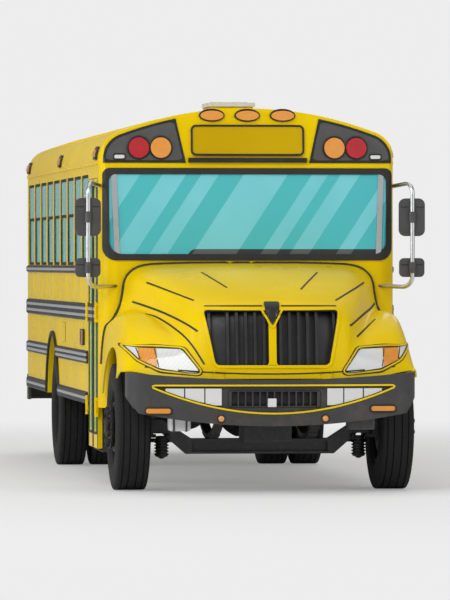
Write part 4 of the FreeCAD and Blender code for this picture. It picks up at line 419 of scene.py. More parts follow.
def enamel(name, code, shade, glow, rough=0.3):
    """Sprayed two-pack enamel on steel: a soft shine, faintly clouded, and duller low down where road dust
    lies. Real orange peel is 2 to 4 mm across and only 0.01 mm deep, so it is left to the shine; the clouds
    are 0.9 m across."""
    made, tree, shader, place = finish(name, code, rough, **{"Specular IOR Level": 0.1})
    cloud = speckle(tree, place, 0.9, 2.0)
    tone = mixed(tree, ramp(tree, cloud, 0.35, 0.7), shade, glow)
    tone = mixed(tree, 0.6, tone, code)
    _, _, z = axes(tree, place)
    low = ramp(tree, z, 1.15, 0.55)
    grime = ramp(tree, speckle(tree, place, 0.16, 5.0, 0.7), 0.42, 0.75)
    dust = maths(tree, "MULTIPLY", low, maths(tree, "MULTIPLY", grime, 0.12))
    tone = mixed(tree, dust, tone, "#9c8a4e")
    shine = ramp(tree, speckle(tree, place, 0.4, 2.0), 0.3, 0.8, rough - 0.03, rough + 0.04)
    painted(tree, shader, tone, maths(tree, "MULTIPLY_ADD", dust, 0.6, shine))
    return made


def moulded(name, code, light, rough, grain=0.004, depth=0.0006, **sockets):
    """Moulded plastic or rubber with a fine leathery grain and a slightly uneven tone. Real grain is about
    1 mm; it is drawn coarser so that it shows."""
    made, tree, shader, place = finish(name, code, rough, **sockets)
    cells = node(tree, "ShaderNodeTexVoronoi", {"Vector": place, "Scale": 1 / grain},
                 feature="DISTANCE_TO_EDGE").outputs["Distance"]
    tone = mixed(tree, ramp(tree, speckle(tree, place, 0.12, 4.0), 0.3, 0.8), code, light)
    painted(tree, shader, tone,
            ramp(tree, speckle(tree, place, 0.03, 3.0), 0.3, 0.8, max(rough - 0.07, 0.05),
                 min(rough + 0.08, 1.0)))
    bumped(tree, shader, cells, depth, 0.5)
    return made


def bare_metal(name, code, rough, grain=(1.0, 1.0, 0.04), stain="#6d6a66", tarnish=0.25):
    """Bare metal with drawn or rolled lines along one axis and faint stains. Real lines are 0.1 mm apart;
    drawn at 3 mm."""
    made, tree, shader, place = finish(name, code, rough, Metallic=1.0)
    lines = speckle(tree, place, 0.003, 2.0, 0.6, grain)
    spots = ramp(tree, speckle(tree, place, 0.07, 5.0, 0.7), 0.5, 0.8, 0.0, tarnish)
    painted(tree, shader, mixed(tree, spots, code, stain),
            maths(tree, "MULTIPLY_ADD", lines, 0.18, rough - 0.09))
    bumped(tree, shader, lines, 0.0003, 0.3)
    return made


def lens(name, code, glow, pitch=0.012, rough=0.1, depth=0.0012):
    """Moulded acrylic lens with crossed flutes inside. Real flutes are 3 to 6 mm apart; drawn at the pitch.
    The tone is paler in the middle of each flute, as the light behind it gathers there."""
    made, tree, shader, place = finish(name, code, rough, IOR=1.49,
                                       **{"Coat Weight": 0.6, "Coat Roughness": 0.04,
                                          "Subsurface Weight": 0.08})
    x, y, z = axes(tree, place)
    across = maths(tree, "SINE", maths(tree, "MULTIPLY", maths(tree, "ADD", x, y), 2 * math.pi / pitch))
    upward = maths(tree, "SINE", maths(tree, "MULTIPLY", z, 2 * math.pi / pitch))
    flutes = maths(tree, "MULTIPLY", across, upward)
    tone = mixed(tree, ramp(tree, flutes, -0.9, 0.9), code, glow)
    tone = mixed(tree, ramp(tree, speckle(tree, place, 0.09, 2.0), 0.3, 0.75, 0.0, 0.5), tone, code)
    painted(tree, shader, tone)
    bumped(tree, shader, flutes, depth, 0.35)
    return made


def rolled_rubber():
    """Carbon-black tyre rubber, cured in a mould: nearly matt, greyer where road dust lies, with fine scuffs.
    Scuffs are 1 mm wide on a real tyre; drawn at 5 mm."""
    made, tree, shader, place = finish("cured_tyre_rubber", "#1b1b1c", 0.78, **{"Specular IOR Level": 0.3})
    dust = ramp(tree, speckle(tree, place, 0.05, 6.0, 0.7), 0.45, 0.8, 0.0, 0.45)
    tone = mixed(tree, dust, "#1a1a1b", "#3a3836")
    painted(tree, shader, tone, ramp(tree, dust, 0.0, 0.5, 0.7, 0.95))
    bumped(tree, shader, speckle(tree, place, 0.005, 4.0, 0.7), 0.0008, 0.5)
    return made


def cast_iron(name, code, light, rough=0.6):
    """Painted casting or forging, pebbly from the sand mould, rust-brown in a few hollows. Sand grain is
    0.5 mm; 5 mm here."""
    made, tree, shader, place = finish(name, code, rough, **{"Specular IOR Level": 0.4})
    tone = mixed(tree, ramp(tree, speckle(tree, place, 0.04, 5.0, 0.65), 0.4, 0.75), code, light)
    tone = mixed(tree, ramp(tree, speckle(tree, place, 0.11, 5.0, 0.7), 0.6, 0.78, 0.0, 0.35), tone,
                 "#4a3527")
    painted(tree, shader, tone,
            ramp(tree, speckle(tree, place, 0.02, 4.0), 0.3, 0.8, rough - 0.12, rough + 0.15))
    bumped(tree, shader, speckle(tree, place, 0.005, 3.0, 0.7), 0.0007, 0.5)
    return made


def screen_glass():
    """Laminated windshield glass with a green-blue tint, and painted reflections of the sky on it as leaning
    lighter streaks, which also cross the dark band that the dash makes low down. Streaks lean with x - 0.66
    z, and each has a soft edge a few millimetres wide."""
    made, tree, shader, place = finish("laminated_tinted_glass", "#5dbcc0", 0.06, IOR=1.52,
                                       **{"Specular IOR Level": 0.12})
    x, y, z = axes(tree, place)
    lean = maths(tree, "MULTIPLY_ADD", z, -0.66, maths(tree, "ADD", x, 0.66 * 2.535))
    # Painted reflections of the sky: a mask of leaning bands where the glass's colour turns lighter.
    sky_reflection_mask = 0.0
    for low, high in ((-1.3, -0.9), (-0.715, -0.52), (-0.395, -0.25), (-0.045, 0.32), (0.52, 0.655),
                      (0.76, 0.92), (1.145, 1.27)):
        inside = maths(tree, "MULTIPLY", ramp(tree, lean, low - 0.004, low + 0.004),
                       ramp(tree, lean, high + 0.004, high - 0.004))
        sky_reflection_mask = maths(tree, "ADD", sky_reflection_mask, inside)
    faint = ramp(tree, speckle(tree, place, 0.5, 2.0), 0.3, 0.7, 0.75, 1.0)
    share = maths(tree, "MULTIPLY", sky_reflection_mask, faint)
    sky = mixed(tree, share, "#55bfc8", "#7ed3e0")
    # The painted reflections run over the dash band as well, as lighter bands on its dark grey.
    dash = mixed(tree, share, "#3f4244", "#606769")
    rise = maths(tree, "MINIMUM", maths(tree, "ADD", x, 0.50), 0.07)
    dome = maths(tree, "SQRT",
                 maths(tree, "MAXIMUM", maths(tree, "MULTIPLY", rise, maths(tree, "SUBTRACT", 0.14, rise)),
                       0.0))
    top = maths(tree, "ADD", dome, 1.872)
    band = maths(tree, "MULTIPLY", ramp(tree, maths(tree, "SUBTRACT", top, z), -0.002, 0.002),
                 ramp(tree, x, -0.502, -0.498))
    painted(tree, shader, mixed(tree, band, sky, dash),
            ramp(tree, speckle(tree, place, 0.3, 5.0, 0.7), 0.4, 0.8, 0.04, 0.12))
    return made


def side_pane_glass():
    """Tempered side glass with the same tint; a broad and a thin painted reflection across each pane, as
    lighter bands leaning with x + y + 0.8 z."""
    made, tree, shader, place = finish("tempered_tinted_glass", "#63bfc4", 0.07, IOR=1.52,
                                       **{"Specular IOR Level": 0.12})
    x, y, z = axes(tree, place)
    lean = maths(tree, "PINGPONG", maths(tree, "MULTIPLY_ADD", z, 0.8, maths(tree, "ADD", x, y)), 0.3667)
    # Painted reflections: two lighter leaning bands on each pane, a broad one and a thin one.
    wide = maths(tree, "MULTIPLY", ramp(tree, lean, 0.06, 0.068), ramp(tree, lean, 0.168, 0.16))
    thin = maths(tree, "MULTIPLY", ramp(tree, lean, 0.21, 0.218), ramp(tree, lean, 0.258, 0.25))
    share = maths(tree, "ADD", wide, thin)
    painted(tree, shader, mixed(tree, share, "#5dbcc0", "#7cc9d1"),
            ramp(tree, speckle(tree, place, 0.2, 5.0, 0.7), 0.4, 0.8, 0.05, 0.14))
    return made


def sewn_vinyl():
    """Coated bus-seat vinyl, dark green, with a pebbled face. The pebble is 2 mm on the real cloth; drawn
    at 4 mm."""
    made, tree, shader, place = finish("coated_seat_vinyl", "#1f4f44", 0.5,
                                       **{"Sheen Weight": 0.15, "Sheen Roughness": 0.4})
    cells = node(tree, "ShaderNodeTexVoronoi", {"Vector": place, "Scale": 250.0}).outputs["Distance"]
    tone = mixed(tree, ramp(tree, speckle(tree, place, 0.15, 4.0), 0.3, 0.75), "#1c473e", "#2a6152")
    painted(tree, shader, tone)
    bumped(tree, shader, cells, 0.0006, 0.4)
    return made


bus_yellow = enamel("chrome_yellow_enamel", "#f0cd02", "#e3bf00", "#f4d40c")
sign_yellow = enamel("sign_board_enamel", "#c9a602", "#bd9b00", "#d0ae08", 0.4)
rail_black = enamel("black_rail_enamel", "#29282a", "#232224", "#333235", 0.4)
bumper_grey = enamel("charcoal_bumper_enamel", "#474748", "#424244", "#4d4d4f", 0.42)
stop_red_coat = enamel("red_stop_sheeting", "#b3242c", "#a61d26", "#bd3036", 0.38)
chassis_black = cast_iron("painted_chassis_steel", "#48484a", "#535355")
engine_cast = cast_iron("oily_engine_casting", "#303032", "#3d3d3f", 0.5)
forged_arm = cast_iron("forged_steering_steel", "#434344", "#525253", 0.5)
rust_spring = cast_iron("shot_peened_spring_steel", "#383636", "#484443", 0.65)
tank_coat = enamel("tank_black_enamel", "#333335", "#2d2d2f", "#3a3a3c", 0.45)
pipe_steel = bare_metal("heat_dulled_exhaust_steel", "#7c766f", 0.5, (1.0, 0.05, 1.0), "#5b4434", 0.6)
brushed_tube = bare_metal("polished_aluminium_tube", "#d8d8da", 0.3)
pillar_metal = bare_metal("brushed_pillar_aluminium", "#c4c6c8", 0.42)
frame_black = enamel("black_enamelled_aluminium", "#232325", "#1e1e20", "#2b2b2d", 0.5)
mirror_silver = bare_metal("silvered_mirror_glass", "#dfe3e6", 0.12, (1.0, 1.0, 1.0), "#b9bdc0", 0.1)
stripe_silver = bare_metal("silver_highlight_tape_and_trim", "#c3c5c8", 0.5, (1.0, 0.03, 1.0), "#a8aaad", 0.3)
seal_black = moulded("extruded_seal_rubber", "#1b1b1c", "#252526", 0.6, 0.003, 0.0004)
grille_black = moulded("moulded_grille_plastic", "#202021", "#2a2a2c", 0.42)
bezel_black = moulded("moulded_bezel_plastic", "#1e1e1f", "#282829", 0.35)
recess_grey = moulded("grained_recess_plastic", "#48494a", "#505152", 0.55)
mirror_shell = moulded("moulded_mirror_shell", "#434345", "#4d4d4f", 0.45)
dash_grain = moulded("grained_dash_plastic", "#454648", "#505153", 0.6)
floor_mat = moulded("ribbed_floor_rubber", "#2f3032", "#3a3b3d", 0.7, 0.006)
hatch_white = moulded("weathered_hatch_plastic", "#cfd1d2", "#d9dadb", 0.5)
tank_white = moulded("blown_reservoir_plastic", "#dadada", "#e4e4e4", 0.45)
red_lens = lens("red_acrylic_lens", "#b0141f", "#c42f38")
amber_lens = lens("amber_acrylic_lens", "#e5902f", "#f0ab58")
orange_lens = lens("orange_acrylic_lens", "#e08b1e", "#ee9f3a", 0.016)
clear_lens = lens("clear_polycarbonate_lens", "#dadada", "#e6e6e4", 0.024, 0.12, 0.0002)
tyre = rolled_rubber()
wheel_paint = enamel("black_wheel_enamel", "#2c2c2e", "#262628", "#353537", 0.42)
screen = screen_glass()
pane = side_pane_glass()
vinyl = sewn_vinyl()

for coat, names in (
        (chassis_black, "frame_rails axles tow_eyes"), (rust_spring, "leaf_springs"),
        (engine_cast, "driveline"),
        (tank_coat, "fuel_tank"), (pipe_steel, "exhaust"), (floor_mat, "floor wheelhouses entry_steps"),
        (bus_yellow, "left_wall right_wall roof front_wall rear_wall hood"),
        (bus_yellow, "door_front_leaf door_rear_leaf rear_door"),
        (rail_black, "rub_rails"), (screen, "windshield"), (seal_black, "windshield_seal"),
        (pillar_metal, "windshield_pillars"), (frame_black, "window_frames"),
        (pane, "side_glass door_front_glass door_rear_glass rear_door_glass"), (hatch_white, "roof_hatch"),
        (stop_red_coat, "stop_arm"), (grille_black, "grille"), (clear_lens, "headlamps clear_lamps"),
        (orange_lens, "hood_turn_lamps"), (forged_arm, "knuckle_left knuckle_right tie_rod"),
        (tyre, "front_tyre_left front_tyre_right rear_tyres_left rear_tyres_right"),
        (wheel_paint, "front_rim_left front_rim_right rear_rims_left rear_rims_right"),
        (bumper_grey, "front_bumper rear_bumper"), (bezel_black, "lamp_panels sign_shade"),
        (red_lens, "red_lamps"), (amber_lens, "amber_lamps"), (sign_yellow, "sign_panels"),
        (brushed_tube, "mirror_arms"), (mirror_shell, "mirror_heads"), (vinyl, "seats"),
        (dash_grain, "dashboard")):
    for name in names.split():
        nodes[name].data.materials.clear()
        nodes[name].data.materials.append(coat)


def inset_hull(name, view, inset, side, count, low, high):
    """The convex outline, in a view, of a node's points between two corners, moved in by inset, at even
    turns about its middle: r(turn) = the least over directions d of (furthest reach along d - inset) /
    cos(turn - d)."""
    place = points_of(nodes[name].data)
    keep = (place > np.asarray(low)).all(1) & (place < np.asarray(high)).all(1)
    if side:
        keep &= place[:, 0] * side > 0
    flat = place[keep][:, list(view)]
    middle = (flat.max(0) + flat.min(0)) / 2
    turn = turns(180)
    arrow = points_at(np.cos(turn), np.sin(turn))
    reach = ((flat - middle) @ arrow.T).max(0) - inset
    out = turns(count)
    share = np.cos(out[:, None] - turn[None])
    radius = np.where(share > 0.05, reach[None] / np.maximum(share, 0.05), np.inf).min(1)
    return middle + radius[:, None] * points_at(np.cos(out), np.sin(out))


def even(points, count, closed=False):
    """The same line with its points at even steps of length."""
    p = np.asarray(points, float)
    if closed:
        p = np.vstack([p, p[:1]])
    run = np.append(0, np.cumsum(np.linalg.norm(np.diff(p, axis=0), axis=1)))
    at = np.linspace(0, run[-1], count, endpoint=not closed)
    return np.stack([np.interp(at, run, p[:, k]) for k in range(p.shape[1])], -1)


def oblong(centre, size, radius, count=64):
    """A round-cornered oblong line at even steps."""
    return even(rounded(size[0], size[1], radius, 6) + np.asarray(centre), count, True)


def rim(name, names, outline, width, lift, material, body="chassis_body", axis=1, depth=0.004):
    """A closed bead lying round an outline."""
    piece(name, laid(names, outline, width, lift, True, depth, 0.003, axis), material, body)


def beads(name, parts, material, body="chassis_body"):
    """Several like surfaces as one piece."""
    return piece(name, joined(parts), material, body)


# Cap lamps and signs: each sits in a moulded rim or on a plate that follows the cap

WARNING_LAMP_Z, MARKER_LAMP_Z = 2.774, 3.04
recesses, bezels, sign_rims = [], [], []
for way, y_low, y_high in ((1, -4, 0), (-1, 0, 6)):
    high = (2, y_high, 4)
    panel = inset_hull("lamp_panels", (0, 2), 0.022, 1, 72, (-2, y_low, 0), high)
    recesses += both(plate(["lamp_panels"], panel, 0.003, 0.003, 6, 1, way))
    for x in (0.9, 0.718):
        ring = circle(0.092, 48, middle=(x, WARNING_LAMP_Z))
        bezels += both(laid(["lamp_panels"], ring, 0.014, 0.014, True, 0.003, 0.004, 1, way))
    edge = even(inset_hull("sign_panels", (0, 2), 0.008, None, 120, (-2, y_low, 2.7), high), 160, True)
    sign_rims.append(laid(["sign_panels"], edge, 0.017, 0.008, True, 0.004, 0.003, 1, way))
small = oblong((1.059, 2.7), (0.1, 0.045), 0.014, 40)
bezels += both(laid(["lamp_panels"], small, 0.01, 0.008, True))
beads("lamp_recess_plates", recesses, recess_grey)
beads("warning_lamp_bezels", bezels, bezel_black)
beads("sign_board_rims", sign_rims, bezel_black)

ovals = []
for x in (-0.293, 0.0, 0.293):
    line = circle(0.1, 56, 0.045, (x, MARKER_LAMP_Z))
    for wall, way in (("front_wall", 1), ("rear_wall", -1)):
        ovals.append(laid([wall], line, 0.014, 0.016, True, 0.006, 0.004, 1, way))
beads("marker_lamp_rims", ovals, bezel_black)


# Hood: dark lines of painted shade along its pressed creases, seam lines and edge trims, all laid on the skin

def crease(points, width, lift, count=24):
    """A narrow bead laid on the hood through points of the front view. It makes each seam, the fender's ridge
    line, and each line of painted shade along a pressed crease.
    """
    return laid(["hood"], smooth_path(points, count), width, lift, False, 0.004, 0.0015)


# The slanting lines are painted shade along the hood's pressed creases; the two level lines above the grille
# are seam lines.
crease_shade_and_seam_lines = [
    [(-0.889, 1.669), (-0.745, 1.599), (-0.592, 1.529)], [(-0.458, 1.751), (-0.387, 1.691), (-0.312, 1.63)],
    [(0.482, 1.75), (0.374, 1.683), (0.277, 1.616)], [(0.882, 1.669), (0.7, 1.598), (0.54, 1.528)],
    [(0.902, 1.375), (0.805, 1.307), (0.7, 1.24)], [(-0.524, 1.486), (-0.289, 1.487), (-0.075, 1.487)],
    [(0.075, 1.487), (0.289, 1.487), (0.53, 1.486)]]
beads("hood_crease_shade_and_seam_lines", [crease(line, 0.014, 0.0035) for line in crease_shade_and_seam_lines], seal_black, "hood_body")
valleys = [[(-0.985, 1.512), (-0.825, 1.44), (-0.705, 1.37), (-0.59, 1.287)],
           [(1.02, 1.497), (0.837, 1.424), (0.635, 1.329)]]
beads("hood_fender_seams", [crease(line, 0.016, 0.004, 30) for line in valleys], seal_black, "hood_body")
arc = [(-0.925, 1.419), (-0.847, 1.39), (-0.741, 1.304), (-0.647, 1.198), (-0.542, 1.026)]
beads("hood_fender_ridge", [crease(arc, 0.014, 0.0035, 40)], seal_black, "hood_body")

mouth = np.array([(-0.5350, 1.448), (0.5350, 1.448), (0.45, 1.018), (-0.45, 1.018)])


def soft_corners(points, radius, count=120):
    """A polygon whose corners are arcs: each is the quadratic curve between the corner's two cut-back
    points."""
    p = np.asarray(points, float)
    back, ahead = np.roll(p, 1, 0), np.roll(p, -1, 0)
    start = p + unit(back - p) * radius
    end = p + unit(ahead - p) * radius
    t = np.linspace(0, 1, 7)[None, :, None]
    curve = (1 - t) ** 2 * start[:, None] + 2 * t * (1 - t) * p[:, None] + t**2 * end[:, None]
    return even(curve.reshape(-1, 2), count, True)


def framed(low, high, radius, count):
    """An oblong line between two corner places, its own corners rounded."""
    return soft_corners([low, (high[0], low[1]), high, (low[0], high[1])], radius, count)


surround = soft_corners(mouth * [1.03, 1] + (mouth - mouth.mean(0)) * [0, 0.06], 0.05, 160)
rim("grille_surround", ["hood"], surround, 0.026, 0.009, bus_yellow, "hood_body", depth=0.006)
inner_edge = soft_corners(mouth * [1.005, 1] + (mouth - mouth.mean(0)) * [0, 0.012], 0.04, 160)
rim("grille_opening_seal", ["hood", "grille"], inner_edge, 0.012, 0.006, seal_black, "hood_body", depth=0.008)

shield = np.array([(-0.062, 1.512), (0.062, 1.512), (0.055, 1.43), (0.0, 1.335), (-0.055, 1.43)])
piece("plain_nose_cap", plate(["hood"], soft_corners(shield, 0.012, 60), 0.016, 0.006, 5), bezel_black,
      "hood_body", bevel=0.004)
vee = smooth_path([(-0.085, 1.46), (-0.045, 1.39), (0.0, 1.318), (0.045, 1.39), (0.085, 1.46)], 30)
piece("nose_cap_vee", laid(["hood"], vee, 0.016, 0.012, False, 0.006, 0.003), bus_yellow, "hood_body")

lamp_line = np.array([(0.578, 0.975), (0.712, 1.148), (0.905, 1.153), (1.045, 1.160), (1.150, 1.178),
                      (1.036, 1.056), (0.880, 0.990), (0.606, 0.950)])


def lamp_ring(grow, width, lift, radius=0.028):
    """A bead round both headlamps, its line grown outwards by a distance."""
    line = soft_corners(lamp_line + unit(lamp_line - lamp_line.mean(0)) * grow, radius, 140)
    return both(laid(["hood"], line, width, lift, True, 0.006, 0.002))


beads("headlamp_seals", lamp_ring(0.004, 0.012, 0.004), seal_black, "hood_body")
beads("headlamp_trims", lamp_ring(0.018, 0.013, 0.008), bus_yellow, "hood_body")
beads("headlamp_outer_seals", lamp_ring(0.030, 0.010, 0.005), seal_black, "hood_body")
dividers = []
for x, top, foot in ((0.905, 1.148, 1.004), (1.045, 1.155, 1.066)):
    line = points_at(np.linspace(x + 0.014, x - 0.012, 12), np.linspace(top, foot, 12))
    dividers += both(laid(["headlamps", "hood_turn_lamps"], line, 0.008, 0.003))
beads("headlamp_dividers", dividers, bezel_black, "hood_body")


# Front bumper: a yellow edge round its long recess, lamps, and a dark plate behind its vent as painted shade

BUMPER_FACE_Z = 0.885


def bumper_y(x):
    """The bumper's face along the bus, where lines along the bus at one height meet it."""
    points, _ = first_hit(["front_bumper"], 1, 1, points_at(x, BUMPER_FACE_Z))
    return points[:, 1]


x = np.linspace(-0.945, 0.945, 61)
upper = points_at(x, 0.862)
lower = points_at(x[::-1], 0.64 + (0.838 - 0.64) * (x[::-1] / 0.945) ** 2)
corner = np.array([(0.962, 0.858), (0.966, 0.85), (0.958, 0.843)])
loop = even(np.vstack([upper, corner, lower, corner[::-1] * [-1, 1]]), 220, True)
rim("bumper_recess_edging", ["front_bumper"], loop, 0.014, 0.006, bus_yellow, depth=0.005)


def on_bumper(xz, width, lift):
    """A closed bead on the bumper's face."""
    return laid(["front_bumper"], xz, width, lift, True, 0.004, 0.003)


corner_lamps, corner_rims = [], []
for place in ((-0.917, 0.661), (0.868, 0.677)):
    outline = oblong(place, (0.194, 0.038), 0.017, 48)
    corner_lamps.append(plate(["front_bumper"], outline, 0.008, 0.004, 5))
    corner_rims.append(on_bumper(oblong(place, (0.208, 0.052), 0.024, 56), 0.011, 0.012))
round_lamps = []
dome = [(0.006, 0.024), (-0.006, 0.024), (-0.012, 0.019), (-0.015, 0.010), (-0.016, 0.0005)]
for place in ((-0.424, 0.600), (0.402, 0.600)):
    spot, _ = first_hit(["front_bumper"], 1, 1, [place])
    round_lamps.append(turned(dome, spot[0], (0, 1, 0), 24))
    corner_rims.append(on_bumper(circle(0.028, 56, middle=place), 0.009, 0.009))
beads("bumper_corner_lamps", corner_lamps, orange_lens)
beads("bumper_round_lamps", round_lamps, amber_lens)
beads("bumper_lamp_rims", corner_rims, seal_black)
face = float(bumper_y(np.zeros(1))[0])
piece("sensor_cover", block((-0.054, face + 0.008, 0.691), (0.014, face + 0.04, 0.759), 0.004), tank_white)
vent_edge = oblong((0.0, 0.756), (0.735, 0.132), 0.02, 150)
rim("vent_surround", ["front_bumper"], vent_edge, 0.010, 0.004, seal_black)
# A dark plate behind the vent's slots, standing for the shade inside the vent.
x = np.linspace(-0.36, 0.36, 25)
back = points_at(x, bumper_y(x) + 0.085, 0.756)
piece("vent_shade_plate", carried(back, rounded(0.012, 0.12, 0.004)), grille_black)
x = np.linspace(-1.0, 1.0, 90)
lip = laid(["hood"], points_at(x, x**2 * 0.055 + 0.95), 0.011, 0.004, False, 0.004, 0.002)
piece("hood_lip_line", lip, seal_black, "hood_body")


# Silver stripes on the black rails of both sides and the hem of the body, painted highlights where the rails'
# ribs catch the light, built as silver reflective strips; the door's leaves get theirs further on

def stripe(side, y_span, z, height=0.024, x=1.2402, thick=0.0016):
    """A flat ribbon on a rail's outer face."""
    path = points_at(side * x, np.linspace(*y_span, 3), z)
    return carried(path, rounded(thick * 2, height, 0.0008, 3))


def arch_cut(z, gap, radius=0.698):
    """How far before and behind the rear axle the wheel arch reaches at a height."""
    return math.sqrt(max(radius**2 - (z - WHEEL_Z) ** 2, 0.0)) + gap


right_start, left_start, rear_end = -2.022, -2.868, 4.568
# Each ribbon is a painted highlight along a rib of a black rail, built as a silver reflective strip.
highlight_stripes = []
for z in (1.774, 1.39, 1.446, 1.013, 1.057, 0.694):
    for side, start in ((-1, right_start), (1, left_start)):
        spans = [(start, rear_end)]
        if z < 1.2:
            reach = arch_cut(z, 0.012)
            spans = [(start, REAR_AXLE - reach), (REAR_AXLE + reach, rear_end)]
        highlight_stripes += [stripe(side, span, z) for span in spans]
beads("rail_highlight_stripes", highlight_stripes, stripe_silver)


# Side panels: upright lap seams with rivets; laps across the roof, arch trims and the fuel door

def rivet(centre, axis, radius=0.008, rise=0.0035, sides=8):
    """A low round head: a dome in two steps."""
    profile = [(-0.002, radius), (rise * 0.55, radius * 0.85), (rise, radius * 0.35)]
    return turned(profile, centre, axis, sides)


seam_y = np.arange(1, WINDOW_COUNT) * WINDOW_PITCH + WINDOW_START
laps, heads = [], []
for side in (-1, 1):
    for y in seam_y:
        for low, high in ((0.76, 0.965), (1.105, 1.33), (1.505, 1.725)):
            if low < 1.2 and abs(y - REAR_AXLE) < arch_cut((low + high) / 2, 0.08):
                continue
            path = points_at(side * 1.2195, y, np.linspace(low, high, 3))
            laps.append(carried(path, rounded(0.026, 0.005, 0.0015, 3), (side, 0, 0)))
            for z in np.arange(low + 0.02, high - 0.01, 0.045):
                heads.append(rivet((side * 1.2215, y, z), (side, 0, 0)))
beads("side_panel_laps", laps, bus_yellow)
beads("side_panel_rivets", heads, bus_yellow)

ribs = []
for y in np.append(seam_y, WINDOW_START):
    line = points_at(np.linspace(-1.06, 1.06, 49), y)
    ribs.append(laid(["roof"], line, 0.03, 0.004, False, 0.004, 0.0015, 2, -1))
beads("roof_lap_ribs", ribs, bus_yellow)

arches = []
t = np.linspace(math.radians(12), math.radians(168), 61)
for side in (-1, 1):
    path = points_at(side * 1.226, REAR_AXLE - 0.688 * np.cos(t), WHEEL_Z + 0.688 * np.sin(t))
    arches.append(carried(path, rounded(0.034, 0.03, 0.008), (side, 0, 0)))
beads("rear_arch_trims", arches, seal_black)

flap = ((0.32, 1.135), (0.62, 1.305), 0.025)
piece("fuel_door", plate(["right_wall"], framed(*flap, 72), 0.004, 0.002, 4, 0, 1), bus_yellow)
rim("fuel_door_gap", ["right_wall"], framed(*flap, 80), 0.006, 0.003, seal_black, axis=0)


# Tyres with grooved treads and stepped walls, in place of the smooth ones

def tyre_surface(centre, width, radius=0.510, rim_radius=0.297, sides=180):
    """A tyre turned about its axle. The tread's rows fall into four grooves, and on the outer rows the radius
    drops in every third step of the turn: r = radius - notch * (step mod 3 == 0)."""
    half = width / 2
    wall = ((0.80, 0.0), (0.86, 0.012), (0.90, 0.02), (0.985, 0.055), (1.0, 0.095), (1.0, 0.100),
            (0.985, 0.104),
            (0.985, 0.118), (1.0, 0.122), (0.99, 0.140))
    side = [(half * share, rim_radius + rise) for share, rise in wall]
    side += [(half * 0.955, radius - 0.038), (half * 0.925, radius - 0.018)]
    tread = [(half * 0.88, radius - 0.006), (half * 0.80, radius - 0.002)]
    for share in (0.60, 0.23):
        for shift, drop in ((0.035, 0.001), (0.03, 0.013), (-0.03, 0.013), (-0.035, 0.001)):
            tread.append((half * (share + shift), radius - drop))
    right = side + tread
    profile = np.array(right + [(-a, r) for a, r in right[::-1]])
    t = turns(sides)
    step = np.arange(sides) % 3 == 0
    first, last = len(side) - 1, len(profile) - len(side)
    shoulder = np.isin(np.arange(len(profile)), [first, first + 1, last - 1, last])
    spread = profile[:, 1][:, None] - 0.011 * shoulder[:, None] * step[None]
    points = points_at(profile[:, :1], spread * np.cos(t), spread * np.sin(t))
    return grid(points + np.asarray(centre, float), closed_u=True, closed_v=True)


def wheel_names(side):
    """The ending of a side's names."""
    return "left" if side > 0 else "right"


for side in (-1, 1):
    end = wheel_names(side)
    single = tyre_surface((side * 1.06, FRONT_AXLE, WHEEL_Z), 0.280)
    front = piece("grooved_tyre_front_" + end, single, tyre, "front_wheel_" + end, angle=28)
    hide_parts("front_tyre_" + end)
    twins = joined([tyre_surface((side * x, REAR_AXLE, WHEEL_Z), 0.262) for x in (0.77, 1.07)])
    rear = piece("grooved_tyres_rear_" + end, twins, tyre, "rear_wheels_" + end, angle=28)
    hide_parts("rear_tyres_" + end)


# Front wheel hubs: noses on the nuts, a band and a bolted cover, and a guard ring with nut covers

def farthest(name, axis, way):
    """How far a node reaches along an axis."""
    return float((points_of(nodes[name].data)[:, axis] * way).max())


def round_axle(side, face, radius, count, shift=0.0):
    """Places at even turns round the front axle, on a face of the wheel, from a share of a step on."""
    t = turns(count) + shift * 2 * math.pi / count
    return points_at(side * face, FRONT_AXLE + radius * np.cos(t), WHEEL_Z + radius * np.sin(t))


def hub_dress(side, nut_face, cap_face):
    """Noses on the nuts, a band round the hub's cap, and a cover held by six bolts."""
    way = (side, 0, 0)
    nose = [(-0.004, 0.0155), (0.006, 0.0155), (0.013, 0.0115), (0.016, 0.004)]
    band = [(-0.03, 0.0825), (-0.028, 0.088), (-0.018, 0.088), (-0.016, 0.0825)]
    cover = [(-0.006, 0.076), (0.003, 0.074), (0.007, 0.064), (0.007, 0.05), (0.004, 0.046), (0.004, 0.002)]
    bolt = [(-0.002, 0.006), (0.004, 0.006), (0.005, 0.003)]
    centre = (side * cap_face, FRONT_AXLE, WHEEL_Z)
    made = [turned(nose, place, way, 12) for place in round_axle(side, nut_face, NUT_CIRCLE, NUT_COUNT)]
    made += [turned(band, centre, way, 40, True), turned(cover, centre, way, 40)]
    made += [turned(bolt, place, way, 6) for place in round_axle(side, cap_face + 0.006, 0.058, 6, 0.5)]
    return made


def hub_guard(side, face):
    """A flanged ring out to the tyre's face with a crowned cover on each nut's place, and a domed cap."""
    way = (side, 0, 0)
    centre = (side * face, FRONT_AXLE, WHEEL_Z)
    ring = [(-0.05, 0.08), (-0.05, 0.10), (-0.016, 0.172), (0.0, 0.174), (0.004, 0.168), (0.004, 0.08)]
    dome = [(-0.05, 0.078), (0.024, 0.078), (0.034, 0.07), (0.04, 0.05), (0.042, 0.012)]
    nut = [(0.0, 0.025), (0.006, 0.025), (0.008, 0.021), (0.028, 0.021), (0.034, 0.017), (0.037, 0.006)]
    covers = [turned(nut, place, way, 16) for place in round_axle(side, face, NUT_CIRCLE, NUT_COUNT, 0.5)]
    return [turned(ring, centre, way, 48, True), turned(dome, centre, way, 40)] + covers


for side in (-1, 1):
    end = wheel_names(side)
    cap = farthest("front_rim_" + end, 0, side)
    beads("hub_details_front_" + end, hub_dress(side, cap - 0.018, cap), wheel_paint, "front_wheel_" + end)
    beads("hub_guard_front_" + end, hub_guard(side, 1.212), wheel_paint, "front_wheel_" + end)


# Mirror glass on the backs of the heads, and the moulded line across each shell

